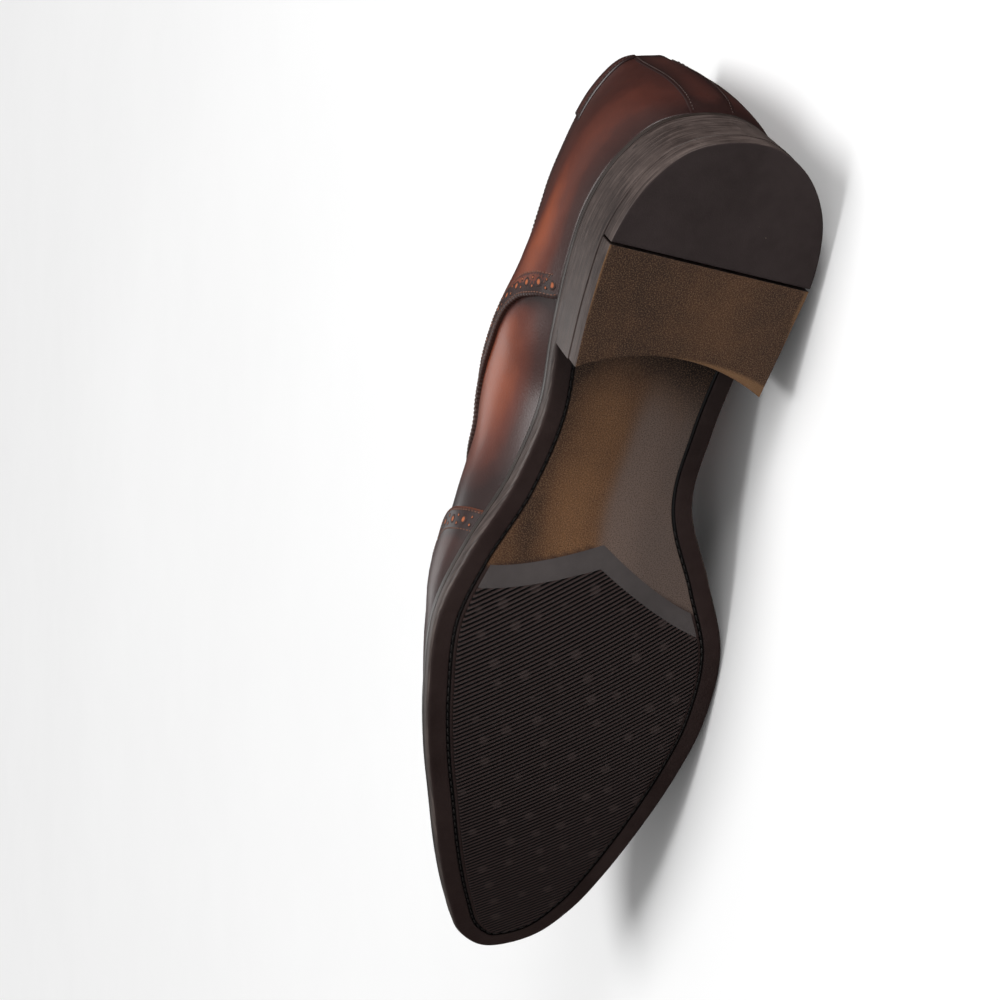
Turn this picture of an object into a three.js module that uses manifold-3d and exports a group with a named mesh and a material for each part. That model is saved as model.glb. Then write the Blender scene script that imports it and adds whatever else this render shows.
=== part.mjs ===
// A man's full brogue derby, left foot, laid on its medial side as it rests on a table.
//
// Everything is worked out standing, in millimetres: X runs from the back of the heel to the toe, Y is positive
// towards the lateral side, and Z is up from the floor under heel and ball. The last lines lay the shoe down.
// The upper is a wall between two curves: the feather line, where it stands on the welt, and the top line, which
// is the collar, the two facings and then the ridge of the vamp. A side is measured along by s, from the back of
// the heel (0) to the toe (1), and up the wall by v, from the feather line (0) to the top line (1).

import * as THREE from 'three';
import { mergeVertices } from 'three/addons/utils/BufferGeometryUtils.js';
import Module from 'manifold-3d';

const wasm = await Module();
wasm.setup();

// Driving dimensions of the sole and heel
const shoeLength = 308;
const ballWidth = 105;
const heelHeight = 20.5;        // floor to the underside of the outsole at the seat
const toeSpring = 14.5;         // underside of the outsole above the floor at the toe
const outsoleThickness = 4.6;
const weltThickness = 2.4;
const weltReach = 5.2;          // how far the welt stands out past the upper round the forepart
const waistReach = 2.2;
const seatReach = 0.9;
const edgeBevel = 1.2;          // bevel at the lower edge of the outsole
const rimWidth = 6.4;           // outsole edge to the stitch channel
const channelWidth = 1.3;
const channelDepth = 1.1;
const channelLip = 0.7;         // leather left between the channel and the rubber forepart
const heelLength = 78;
const breastHollow = 8;         // how far the middle of the heel breast is cut back
const heelTaper = 0.6;          // the top piece is smaller than the seat by this much all round
const topPieceThickness = 6.5;
const rubberShare = 0.504;      // share of the top piece's length that is rubber
const jointSlant = 1.5;         // how far the joint's ends lie off square, back on the lateral side
const insertThickness = 1.7;    // rubber forepart, let into the outsole
const insertProud = 0.6;        // and standing proud of it
const insertSkive = 7.5;         // smooth bevelled border at its waist end
const insertWaist = 150;        // its lateral waist corner, from the back of the heel
const insertPeak = 11;          // its pointed middle lies this much nearer the heel
const insertSlant = 8;          // and its medial corner this much nearer the toe

// Driving dimensions of the upper
const upperWall = 2.2;
const overlayThickness = 1.2;
const backHeight = 70.5;         // welt to collar at the back
const instepHeight = 96;        // what the heights of the facings and the vamp ridge are shares of
const toeHeight = 18.5;         // what the heights of the toe are shares of
const facingGap = 17;           // between the two facings at the top eyelets
const stripHalfWidth = 7.2;
const stripShift = 6.0;         // middle of the strip from the outline's start, to the lateral side, at the welt
const stripShiftTop = 2.4;      // the same at the collar
const collarBandWidth = 8.5;
const collarBandStart = 0.3;    // share of that width it starts with beside the back strip
const insoleThickness = 2.2;
const tongueThickness = 2.4;
const tongueRise = 13;          // tongue above the facings
const eyeletsPerSide = 5;
const eyeletRadius = 1.6;
const eyeletInset = 7.5;        // facing edge to eyelet centre
const laceWidth = 3.6;
const laceThickness = 1.6;
const gap = 0.3;                // between pieces that touch
const tidiness = 0.01;          // slivers left by cuts, up to this size, are merged away

// Outline of the outsole: along is a share of the length, the other columns of the ball width
const outlineTable = [
  { along: 0.018, lateral: 0.205, medial: 0.145 },
  { along: 0.058, lateral: 0.307, medial: 0.245 },
  { along: 0.114, lateral: 0.361, medial: 0.286 },
  { along: 0.179, lateral: 0.366, medial: 0.275 },
  { along: 0.253, lateral: 0.350, medial: 0.254 },
  { along: 0.324, lateral: 0.330, medial: 0.232 },
  { along: 0.400, lateral: 0.371, medial: 0.230 },
  { along: 0.477, lateral: 0.463, medial: 0.348 },
  { along: 0.552, lateral: 0.513, medial: 0.457 },
  { along: 0.640, lateral: 0.474, medial: 0.481 },
  { along: 0.710, lateral: 0.415, medial: 0.458 },
  { along: 0.779, lateral: 0.338, medial: 0.418 },
  { along: 0.860, lateral: 0.240, medial: 0.366 },
  { along: 0.929, lateral: 0.139, medial: 0.308 },
  { along: 0.979, lateral: 0.045, medial: 0.217 },
];
const toeTip = { along: 1, lateral: -0.070 };

// Underside of the outsole: seat is a share of the heel height, spring of the toe spring
const undersideTable = [
  { along: -0.03, seat: 1.01, spring: 0 },
  { along: 0.13, seat: 0.98, spring: 0 },
  { along: 0.253, seat: 0.90, spring: 0 },
  { along: 0.357, seat: 0.69, spring: 0 },
  { along: 0.487, seat: 0.27, spring: 0 },
  { along: 0.60, seat: 0.04, spring: 0 },
  { along: 0.666, seat: 0, spring: 0 },
  { along: 0.747, seat: 0, spring: 0.06 },
  { along: 0.844, seat: 0, spring: 0.30 },
  { along: 0.942, seat: 0, spring: 0.71 },
  { along: 1.0, seat: 0, spring: 1.0 },
  { along: 1.03, seat: 0, spring: 1.14 },
];

// Middle line of the last, whose forepart swings to the medial side: out is a share of the ball width
const spineTable = [
  { along: 0, out: -0.026 },
  { along: 0.07, out: -0.010 },
  { along: 0.16, out: 0.006 },
  { along: 0.32, out: 0.032 },
  { along: 0.49, out: 0.028 },
  { along: 0.65, out: -0.002 },
  { along: 0.81, out: -0.036 },
  { along: 1.0, out: -0.070 },
];

// Ridge of the vamp above the welt: instep and toe are shares of those two heights
const ridgeTable = [
  { along: 0.52, instep: 0.630, toe: 0 },
  { along: 0.56, instep: 0.588, toe: 0 },
  { along: 0.61, instep: 0.535, toe: 0 },
  { along: 0.67, instep: 0.370, toe: 0.60 },
  { along: 0.75, instep: 0.150, toe: 1.43 },
  { along: 0.82, instep: 0, toe: 1.87 },
  { along: 0.87, instep: 0, toe: 1.62 },
  { along: 0.91, instep: 0, toe: 1.33 },
];

// The top line. along is a share of the length, collar of the ball width and facing of the facing gap; the height
// above the welt is back and instep as shares of those two heights. Past the throat it follows the ridge.
const topTable = [
  { s: 0.00, along: 0.010, collar: 0.000, facing: 0, back: 1.000, instep: 0 },
  { s: 0.05, along: 0.020, collar: 0.105, facing: 0, back: 0.992, instep: 0 },
  { s: 0.10, along: 0.054, collar: 0.182, facing: 0, back: 0.945, instep: 0 },
  { s: 0.15, along: 0.105, collar: 0.232, facing: 0, back: 0.862, instep: 0 },
  { s: 0.20, along: 0.162, collar: 0.260, facing: 0, back: 0.785, instep: 0 },
  { s: 0.25, along: 0.218, collar: 0.256, facing: 0, back: 0.755, instep: 0 },
  { s: 0.30, along: 0.269, collar: 0.218, facing: 0, back: 0.400, instep: 0.290 },
  { s: 0.34, along: 0.308, collar: 0.120, facing: 0.30, back: 0.110, instep: 0.610 },
  { s: 0.37, along: 0.334, collar: 0.045, facing: 0.52, back: 0, instep: 0.765 },
  { s: 0.40, along: 0.362, collar: 0.010, facing: 0.55, back: 0, instep: 0.800 },
  { s: 0.44, along: 0.402, collar: 0, facing: 0.50, back: 0, instep: 0.765 },
  { s: 0.50, along: 0.462, collar: 0, facing: 0.44, back: 0, instep: 0.698 },
  { s: 0.55, along: 0.511, collar: 0, facing: 0.36, back: 0, instep: 0.638 },
  { s: 0.57, along: 0.530, collar: 0, facing: 0.26, back: 0, instep: 0.618 },
  { s: 0.585, along: 0.5455, collar: 0, facing: 0, back: 0, instep: 0.604 },
  { s: 0.62, along: 0.586, collar: 0, facing: 0, back: 0, instep: 0 },
  { s: 0.70, along: 0.680, collar: 0, facing: 0, back: 0, instep: 0 },
  { s: 0.78, along: 0.771, collar: 0, facing: 0, back: 0, instep: 0 },
  { s: 0.86, along: 0.852, collar: 0, facing: 0, back: 0, instep: 0 },
  { s: 0.91, along: 0.884, collar: 0, facing: 0, back: 0, instep: 0 },
  { s: 1.00, along: 0.884, collar: 0, facing: 0, back: 0, instep: 0 },
];
const throat = 0.585;           // s where the facings end and the ridge begins
const poleStart = 0.91;         // s from which the wall fans out from the end of the ridge

// How the wall leaves the welt and reaches the top line: rise and fall are shares of its own height, the others of
// the ball width. lateral and medial are how far each side bulges.
const wallTable = [
  { s: 0.00, rise: 0.36, lateral: 0.046, medial: 0.046, over: 0.030, fall: 0.34 },
  { s: 0.10, rise: 0.36, lateral: 0.040, medial: 0.010, over: 0.034, fall: 0.34 },
  { s: 0.18, rise: 0.36, lateral: 0.044, medial: 0.008, over: 0.045, fall: 0.35 },
  { s: 0.25, rise: 0.39, lateral: 0.090, medial: 0.040, over: 0.080, fall: 0.34 },
  { s: 0.32, rise: 0.42, lateral: 0.178, medial: 0.105, over: 0.160, fall: 0.30 },
  { s: 0.38, rise: 0.44, lateral: 0.145, medial: 0.120, over: 0.210, fall: 0.25 },
  { s: 0.45, rise: 0.45, lateral: 0.080, medial: 0.095, over: 0.190, fall: 0.19 },
  { s: 0.52, rise: 0.45, lateral: 0.052, medial: 0.062, over: 0.190, fall: 0.12 },
  { s: 0.57, rise: 0.47, lateral: 0.048, medial: 0.048, over: 0.215, fall: 0.05 },
  { s: 0.62, rise: 0.49, lateral: 0.046, medial: 0.044, over: 0.240, fall: 0 },
  { s: 0.70, rise: 0.53, lateral: 0.038, medial: 0.036, over: 0.230, fall: 0 },
  { s: 0.78, rise: 0.57, lateral: 0.030, medial: 0.030, over: 0.200, fall: 0 },
  { s: 0.86, rise: 0.60, lateral: 0.020, medial: 0.020, over: 0.170, fall: 0 },
  { s: 1.00, rise: 0.62, lateral: 0.012, medial: 0.012, over: 0.150, fall: 0 },
];

// Edge of the wing cap, from the welt up to the ridge, where its point lies
const wingEdge = [
  { v: 0.00, s: 0.455 },
  { v: 0.12, s: 0.471 },
  { v: 0.28, s: 0.498 },
  { v: 0.50, s: 0.585 },
  { v: 0.66, s: 0.670 },
  { v: 0.77, s: 0.706 },
  { v: 0.86, s: 0.710 },
  { v: 0.93, s: 0.688 },
  { v: 1.00, s: 0.650 },
];

// Lower edge of the quarter, along the welt, then up and forward to the throat
const quarterEdge = [
  { t: 0.00, s: 0.00, v: 0.0, top: 0.00 },
  { t: 0.30, s: 0.250, v: 0.0, top: 0.30 },
  { t: 0.36, s: 0.262, v: 0.16, top: 0.335 },
  { t: 0.42, s: 0.277, v: 0.32, top: 0.360 },
  { t: 0.50, s: 0.305, v: 0.43, top: 0.385 },
  { t: 0.62, s: 0.365, v: 0.455, top: 0.42 },
  { t: 0.74, s: 0.430, v: 0.48, top: 0.465 },
  { t: 0.87, s: 0.515, v: 0.66, top: 0.525 },
  { t: 1.00, s: 0.577, v: 0.90, top: 0.576 },
];
const collarBandEnd = 0.13;     // s where the collar band stops

// How the shoe lies: rolled onto its medial side, then tipped and turned flat to the table
const layRoll = 93.74;
const layTip = -6.6;
const layTurn = -0.5;

// Small helpers

const mix = (a, b, t) => a + (b - a) * t;
const ramp = (x, from, to) => {
  const t = Math.min(1, Math.max(0, (x - from) / (to - from)));
  return t * t * (3 - 2 * t);
};
const stations = (count, from = 0, to = 1) => Array.from({ length: count + 1 }, (_, i) => mix(from, to, i / count));

// Where a rising function of x passes a value, between low and high
function solve(rising, value, low, high) {
  for (let i = 0; i < 26; i += 1) {
    const middle = (low + high) / 2;
    if (rising(middle) < value) low = middle;
    else high = middle;
  }
  return low;
}

// Value of a table's column at a place between its rows: a smooth curve with no overshoot
function read(table, key, column, at) {
  const last = table.length - 1;
  if (at <= table[0][key]) return table[0][column];
  if (at >= table[last][key]) return table[last][column];
  let i = 0;
  while (table[i + 1][key] < at) i += 1;
  const slope = (k) => (table[k + 1][column] - table[k][column]) / (table[k + 1][key] - table[k][key]);
  const tangent = (k) => {
    if (k === 0) return slope(0);
    if (k === last) return slope(last - 1);
    const a = slope(k - 1);
    const b = slope(k);
    return a * b <= 0 ? 0 : (2 * a * b) / (a + b);
  };
  const width = table[i + 1][key] - table[i][key];
  const t = (at - table[i][key]) / width;
  return mix(table[i][column], table[i + 1][column], ramp(t, 0, 1))
    + width * (t * (1 - t) * (1 - t) * tangent(i) - t * t * (1 - t) * tangent(i + 1));
}

// Sole outline

const soleThickness = outsoleThickness + weltThickness;
const undersideHeight = (x) => heelHeight * read(undersideTable, 'along', 'seat', x / shoeLength)
  + toeSpring * read(undersideTable, 'along', 'spring', x / shoeLength);
const spineY = (x) => ballWidth * read(spineTable, 'along', 'out', x / shoeLength);

// The closed outline runs from the back round the lateral side to the toe, and back by the medial side
const outlineCurve = new THREE.CatmullRomCurve3([
  new THREE.Vector3(0, 0, 0),
  ...outlineTable.map((row) => new THREE.Vector3(row.along * shoeLength, row.lateral * ballWidth, 0)),
  new THREE.Vector3(toeTip.along * shoeLength, toeTip.lateral * ballWidth, 0),
  ...outlineTable.slice().reverse()
    .map((row) => new THREE.Vector3(row.along * shoeLength, -row.medial * ballWidth, 0)),
], true, 'centripetal');
outlineCurve.arcLengthDivisions = 1280;
const outlineLength = outlineCurve.getLength();
const lateralLength = outlineCurve.getLengths()[outlineCurve.arcLengthDivisions / 2];

// Point and outward direction of the outline at s along a side
function outlineAt(side, s) {
  if (s < 1e-6) return { x: 0, y: 0, nx: -1, ny: 0 };
  const run = side > 0 ? s * lateralLength : outlineLength - s * (outlineLength - lateralLength);
  const point = outlineCurve.getPointAt(run / outlineLength);
  const tangent = outlineCurve.getTangentAt(run / outlineLength);
  return { x: point.x, y: point.y, nx: -tangent.y, ny: tangent.x };
}

// The outline moved inwards by a distance
function insetAt(side, s, inset) {
  const at = outlineAt(side, s);
  return { ...at, x: at.x - at.nx * inset, y: at.y - at.ny * inset };
}

// How far the welt stands out past the upper
const reachAt = (x) => {
  const t = x / shoeLength;
  return mix(mix(seatReach, waistReach, ramp(t, 0.2, 0.33)), weltReach, ramp(t, 0.4, 0.6));
};

// Wall of the upper

const featherAt = (side, s) => {
  const foot = insetAt(side, s, reachAt(outlineAt(side, s).x));
  return { ...foot, z: undersideHeight(foot.x) + soleThickness + gap };
};

const ridgeHeight = (x) => undersideHeight(x) + soleThickness
  + instepHeight * read(ridgeTable, 'along', 'instep', x / shoeLength)
  + toeHeight * read(ridgeTable, 'along', 'toe', x / shoeLength);
const ridgeSlope = (x) => ridgeHeight(x + 0.5) - ridgeHeight(x - 0.5);

function topAt(side, s) {
  const x = read(topTable, 's', 'along', s) * shoeLength;
  if (s >= throat) return new THREE.Vector3(x, spineY(x), ridgeHeight(x));
  const out = read(topTable, 's', 'collar', s) * ballWidth + read(topTable, 's', 'facing', s) * facingGap;
  const height = read(topTable, 's', 'back', s) * backHeight + read(topTable, 's', 'instep', s) * instepHeight;
  return new THREE.Vector3(x, spineY(x) + side * out, undersideHeight(x) + soleThickness + height);
}

// One point of the outer surface: a cubic curve from the feather line to the top line
function wallPoint(side, s, v) {
  const foot = featherAt(side, s);
  const top = topAt(side, s);
  const height = top.z - foot.z;
  const bulge = read(wallTable, 's', side > 0 ? 'lateral' : 'medial', s) * ballWidth;
  const over = read(wallTable, 's', 'over', s) * ballWidth;
  const outward = new THREE.Vector2(foot.x - top.x, foot.y - top.y).normalize();
  const lean = ridgeSlope(top.x) * ramp(s, throat - 0.1, throat);
  const low = new THREE.Vector3(foot.x + foot.nx * bulge, foot.y + foot.ny * bulge,
    foot.z + read(wallTable, 's', 'rise', s) * height);
  const high = new THREE.Vector3(top.x + outward.x * over, top.y + outward.y * over,
    top.z + lean * outward.x * over - read(wallTable, 's', 'fall', s) * height);
  return new THREE.Vector3(foot.x, foot.y, foot.z).multiplyScalar((1 - v) ** 3)
    .addScaledVector(low, 3 * v * (1 - v) ** 2)
    .addScaledVector(high, 3 * v * v * (1 - v))
    .addScaledVector(top, v ** 3);
}

// Outward direction of the surface; where the two sides meet they share one
function wallNormal(side, s, v) {
  const step = 0.004;
  const onRidge = s > throat - 1e-6 && v > 1 - 1e-6;
  const level = onRidge ? 0.97 : v;
  const facing = (which) => {
    const along = wallPoint(which, Math.min(1, s + step), level)
      .sub(wallPoint(which, Math.max(0, s - step), level));
    const up = wallPoint(which, s, Math.min(1, level + step))
      .sub(wallPoint(which, s, Math.max(0, level - step)));
    return up.cross(along).multiplyScalar(which).normalize();
  };
  if (onRidge && s > poleStart - 1e-6) {
    return new THREE.Vector3(-ridgeSlope(topAt(1, 1).x), 0, 1).normalize();
  }
  const normal = facing(side);
  if (onRidge || s < 1e-6 || s > 1 - 1e-6) normal.add(facing(-side));
  return normal.normalize();
}

// A place on or off the wall: w is s on the lateral side and -s on the medial
function onWall(w, v, lift) {
  const side = w < 0 ? -1 : 1;
  return wallPoint(side, Math.abs(w), v).addScaledVector(wallNormal(side, Math.abs(w), v), lift);
}

// The v that lies a distance below the top line
function vBelow(w, distance) {
  const top = onWall(w, 1, 0);
  return 1 - solve((down) => onWall(w, 1 - down, 0).distanceTo(top), distance, 0, 0.5);
}

// The w that lies a distance from the outline's start, at a height: above 0 on the lateral side
const wFromBack = (v, distance) => {
  const back = onWall(0, v, 0);
  const side = Math.sign(distance) || 1;
  return side * solve((s) => onWall(side * s, v, 0).distanceTo(back), Math.abs(distance), 0, 0.2);
};

// Edge of the back strip on a side, moved outwards by a margin
const stripMiddle = (v) => mix(stripShift, stripShiftTop, v);
const stripEdge = (side, v, margin) => Math.abs(wFromBack(v, stripMiddle(v) + side * (stripHalfWidth + margin)));

// Solids from grids

// Collects four-sided faces, merges their corners and drops what has collapsed
class Faces {
  constructor() {
    this.corners = [];
  }

  quad(a, b, c, d) {
    this.corners.push(a, b, c, a, c, d);
  }

  grid(points, turned = false) {
    for (let i = 0; i + 1 < points.length; i += 1) {
      for (let j = 0; j + 1 < points[i].length; j += 1) {
        const [a, b, c, d] = [points[i][j], points[i + 1][j], points[i + 1][j + 1], points[i][j + 1]];
        this.corners.push(...(turned ? [a, c, b, a, d, c] : [a, b, c, a, c, d]));
      }
    }
  }

  solid() {
    const merged = mergeVertices(new THREE.BufferGeometry().setFromPoints(this.corners), 1e-3);
    const faces = [];
    for (let i = 0; i < merged.index.count; i += 3) {
      const [a, b, c] = merged.index.array.subarray(i, i + 3);
      if (a !== b && b !== c && a !== c) faces.push([a, b, c]);
    }
    const close = (ordered) => new wasm.Manifold(new wasm.Mesh({
      numProp: 3,
      vertProperties: merged.attributes.position.array,
      triVerts: new Uint32Array(ordered.flat()),
    }));
    const made = close(faces);
    return made.volume() > 0 ? made : close(faces.map((face) => face.slice().reverse()));
  }
}

// A sheet between two grids of the same size, closed along its rims. A loop has neither start nor end, and its high
// rim is open, and so gets a strip, only where the two sides don't meet on the ridge.
function sheet(outer, inner, { ends = true, high = () => true } = {}) {
  const faces = new Faces();
  faces.grid(outer);
  faces.grid(inner, true);
  const last = outer.length - 1;
  const top = outer[0].length - 1;
  for (let i = 0; i < last; i += 1) {
    faces.quad(outer[i + 1][0], outer[i][0], inner[i][0], inner[i + 1][0]);
    if (high(i)) faces.quad(outer[i][top], outer[i + 1][top], inner[i + 1][top], inner[i][top]);
  }
  for (let j = 0; j < top && ends; j += 1) {
    faces.quad(outer[0][j], outer[0][j + 1], inner[0][j + 1], inner[0][j]);
    faces.quad(outer[last][j + 1], outer[last][j], inner[last][j], inner[last][j + 1]);
  }
  return faces.solid();
}

const largest = (solid) => solid.decompose().sort((a, b) => b.volume() - a.volume())[0];

// Sole pieces

const onUnderside = (point, above) => new THREE.Vector3(point.x, point.y, undersideHeight(point.x) + above);

// A slab between the two sides of the outline. section(side, s) gives one side's points from the middle of the
// underside, out round the edge, to the middle of the top.
function slab(section, count) {
  const rows = stations(count).map((t) => {
    const s = 0.5 - 0.5 * Math.cos(Math.PI * t) * mix(1, 0.72, Math.sin(Math.PI * t));
    const lateral = section(1, s);
    const medial = section(-1, s);
    return [...lateral, ...medial.reverse(), lateral[0]];
  });
  const faces = new Faces();
  faces.grid(rows);
  return faces.solid();
}

function outsoleSolid() {
  const section = (side, s) => [
    onUnderside(insetAt(side, s, rimWidth + channelWidth), 0),
    onUnderside(insetAt(side, s, rimWidth + channelWidth), channelDepth),
    onUnderside(insetAt(side, s, rimWidth), channelDepth),
    onUnderside(insetAt(side, s, rimWidth), 0),
    onUnderside(insetAt(side, s, edgeBevel), 0),
    onUnderside(outlineAt(side, s), edgeBevel),
    onUnderside(outlineAt(side, s), outsoleThickness),
  ];
  const pocket = insertSolid(gap, insertThickness - insertProud + gap, 2 * insertProud);
  return slab(section, 38).subtract(pocket);
}

// The welt is a flat ring between the outsole and the upper
function weltSolid() {
  const around = [...stations(38).map((s) => [1, s]), ...stations(38, 1, 0).map((s) => [-1, s])];
  const rings = around.map(([side, s]) => {
    const edge = outlineAt(side, s);
    const inner = insetAt(side, s, reachAt(edge.x) + upperWall);
    const low = outsoleThickness + gap;
    return [
      onUnderside(edge, low),
      onUnderside(edge, soleThickness),
      onUnderside(inner, soleThickness),
      onUnderside(inner, low),
      onUnderside(edge, low),
    ];
  });
  const faces = new Faces();
  faces.grid(rings);
  return faces.solid();
}

function insoleSolid() {
  return slab((side, s) => {
    const edge = insetAt(side, s, reachAt(outlineAt(side, s).x) + upperWall + 2 * gap);
    return [onUnderside(edge, outsoleThickness + gap), onUnderside(edge, soleThickness + insoleThickness)];
  }, 36);
}

// Waist end of the rubber insert: two hollow curves that meet in a point
const insertStart = (across) => insertWaist + insertSlant * Math.max(0, -across)
  - insertPeak * (1 - Math.abs(across)) ** 1.5;

// The insert's plan at share t of its length and across it from the medial side (-1) to the lateral (1)
function insertPlan(grow) {
  const inset = rimWidth + channelWidth + channelLip + gap - grow;
  const sAtStart = (side) => solve((s) => insetAt(side, s, inset).x, insertStart(side) - grow, 0.3, 0.7);
  const starts = { 1: sAtStart(1), [-1]: sAtStart(-1) };
  const straight = (t, across) => {
    const lateral = insetAt(1, mix(starts[1], 1, t), inset);
    const medial = insetAt(-1, mix(starts[-1], 1, t), inset);
    const share = (across + 1) / 2;
    return { x: mix(medial.x, lateral.x, share), y: mix(medial.y, lateral.y, share) };
  };
  return (t, across) => {
    const at = straight(t, across);
    const back = insertStart(across) - grow - straight(0, across).x;
    return { x: at.x + back * (1 - ramp(t, 0, 0.55)), y: at.y };
  };
}

// The insert from a height above the underside to a depth below it, whose waist end is skived away to nothing
function insertSolid(grow, above, below) {
  const plan = insertPlan(grow);
  const along = [0, 0.045, ...stations(12, 0.09, 0.93), 0.97, 1];
  const across = stations(8, -1, 1);
  const proud = (x, w) => (grow ? below : mix(0.1 - below, below, ramp(x - insertStart(w), 0, insertSkive)));
  const rows = along.map((t) => across.map((w) => ({ w, ...plan(t, w) })));
  return sheet(
    rows.map((row) => row.map((p) => onUnderside(p, -proud(p.x, p.w)))),
    rows.map((row) => row.map((p) => onUnderside(p, above))),
  );
}

// Heel

// A block under the seat between two places along the shoe; one that reaches the breast is hollowed there
function heelBlock(from, to, low, high, inset) {
  const across = stations(6, -1, 1);
  const sAt = (side, x) => solve((s) => outlineAt(side, s).x, x, 0, 0.5);
  const rows = stations(from === 0 ? 14 : 5).map((t) => {
    const x = from === 0 ? Math.max(mix(from, to, 1 - Math.cos((t * Math.PI) / 2)), 1e-4) : mix(from, to, t);
    const turn = jointSlant * (from > 0 ? (to - x) / (to - from) : x / to) * (from > 0 || to < heelLength ? 1 : 0);
    const lateral = insetAt(1, sAt(1, x - turn), inset);
    const medial = insetAt(-1, sAt(-1, x + turn), inset);
    const hollow = to === heelLength ? breastHollow * ramp(x, to - 2.5 * breastHollow, to) : 0;
    return across.map((w) => ({
      x: mix(medial.x, lateral.x, (w + 1) / 2) - hollow * (1 - w * w),
      y: mix(medial.y, lateral.y, (w + 1) / 2),
    }));
  });
  const level = (height) => rows.map((row) => row.map((p) => new THREE.Vector3(p.x, p.y, height(p.x))));
  return sheet(level(low), level(high));
}

const heelStackSolid = () => heelBlock(0, heelLength, () => topPieceThickness + gap,
  (x) => undersideHeight(x) - gap, 0);
const topPieceSolid = (from, to) => heelBlock(from, to, () => 0, () => topPieceThickness, heelTaper);

// Upper

const wallRows = [0, 0.09, 0.23, 0.40, 0.58, 0.75, 0.90, 1];
const wallStations = [0, 0.025, 0.055, 0.09, 0.125, 0.16, 0.20, 0.24, 0.28, 0.315, 0.345, 0.37, 0.40, 0.44, 0.48, 0.52,
  0.55, 0.57, throat, 0.63, 0.68, 0.73, 0.78, 0.83, 0.875, poleStart, 0.94, 0.97, 1];
const wallLoop = [...wallStations, ...wallStations.slice(0, -1).reverse().map((s) => -s)];

// The wall between two offsets of the same surface, all the way round, open underneath and at collar and throat
function wallSolid(outer, inner) {
  const surface = (lift) => wallLoop.map((w, i) => wallRows.map((v) => (
    onWall(w === 0 && i > 0 ? -1e-9 : w, v, lift))));
  const open = (i) => (Math.abs(wallLoop[i]) + Math.abs(wallLoop[i + 1])) / 2 < throat;
  return sheet(surface(outer), surface(inner), { ends: false, high: open });
}

// A block round a patch of the wall, for cutting: patch(a, b) gives the w and v of shares a and b of the patch
function cutter(patch, countA, countB) {
  const surface = (lift) => stations(countA).map((a) => stations(countB).map((b) => {
    const { w, v } = patch(a, b);
    return onWall(w, v, lift);
  }));
  return sheet(surface(4 * overlayThickness), surface(-0.5 * upperWall));
}

// The wing cap is cut from its edge to the toe, on both sides at once
function wingCutter() {
  const shares = [...stations(10), ...stations(10, 1, 0).slice(1)];
  const rows = stations(14, 0.02, 1);
  const surface = (lift) => shares.map((a, i) => rows.map((v) => {
    const s = mix(read(wingEdge, 'v', 's', v), 1, a);
    return onWall(i > 10 ? -s : s, v, lift);
  }));
  return sheet(surface(4 * overlayThickness), surface(-0.5 * upperWall), { high: () => false });
}

const topMargin = 0.012;        // overlays stop this share of the wall below the top line

// One quarter, from the back strip to the throat, above its lower edge
const quarterCutter = (side) => cutter((a, b) => {
  const column = (name) => read(quarterEdge, 't', name, a);
  const v = mix(Math.max(0.02, column('v')), 1 - topMargin, b);
  const s = Math.max(mix(column('s'), column('top'), b), stripEdge(side, v, 2 * gap));
  return { w: side * s, v };
}, 22, 8);

// The collar band lies side by side with the quarter; grow widens it, to cut its place out of the quarter
const collarCutter = (side, grow) => cutter((a, b) => {
  const startAt = (v) => stripEdge(side, v, 2 * gap - grow);
  const straight = mix(startAt(0.9), collarBandEnd + grow / lateralLength, a);
  const width = collarBandWidth * mix(collarBandStart, 1, Math.sqrt(a));
  const low = vBelow(side * straight, width + grow);
  const v = mix(low, grow > 0 ? 1 : 1 - topMargin, b);
  return { w: side * (straight + (startAt(v) - startAt(0.9)) * (1 - a)), v };
}, 8, 4);

const stripCutter = () => cutter((a, b) => {
  const v = mix(0.02, 1 - topMargin, b);
  return { w: wFromBack(v, stripMiddle(v) + (2 * a - 1) * stripHalfWidth), v };
}, 6, 10);

const eyelets = stations(eyeletsPerSide - 1, 0.405, 0.535);

// A pin through the wall at each eyelet of a side
function eyeletPins(side) {
  const pins = eyelets.map((s) => {
    const w = side * s;
    const v = vBelow(w, eyeletInset);
    const turn = new THREE.Quaternion().setFromUnitVectors(new THREE.Vector3(0, 0, 1), wallNormal(side, s, v));
    const place = new THREE.Matrix4().compose(onWall(w, v, 0), turn, new THREE.Vector3(1, 1, 1));
    return wasm.Manifold.cylinder(6 * upperWall, eyeletRadius, eyeletRadius, 8, true).transform(place.elements);
  });
  return wasm.Manifold.union(pins);
}

// The tongue: a strip under both facings and across the gap between them, rising past their top
function tongueSolid() {
  const below = upperWall + 3 * gap;
  const edge = 0.4;
  const under = (s, across, depth) => {
    const wallPart = (side, v) => onWall(side * s, v, -below - depth);
    if (Math.abs(across) > edge) {
      return wallPart(Math.sign(across), mix(0.95, 0.79, (Math.abs(across) - edge) / (1 - edge)));
    }
    const share = (across / edge + 1) / 2;
    const arch = 0.8 * (1 - (across / edge) ** 2);
    return wallPart(-1, 0.95).lerp(wallPart(1, 0.95), share).add(new THREE.Vector3(0, 0, arch));
  };
  const across = stations(12, -1, 1);
  const rows = stations(9, 0.60, 0.40);
  const surface = (depth) => {
    const made = rows.map((s) => across.map((w) => under(s, w, depth)));
    const before = made[rows.length - 2];
    const top = made[rows.length - 1];
    const beyond = top.map((p, i) => {
      const reach = tongueRise * (1 - 0.45 * across[i] ** 2);
      return p.clone().addScaledVector(p.clone().sub(before[i]).normalize(), reach);
    });
    return [...made, beyond];
  };
  return largest(sheet(surface(0), surface(tongueThickness)).subtract(
    wallSolid(overlayThickness + 2 * gap, -upperWall - gap),
  ));
}

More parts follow.
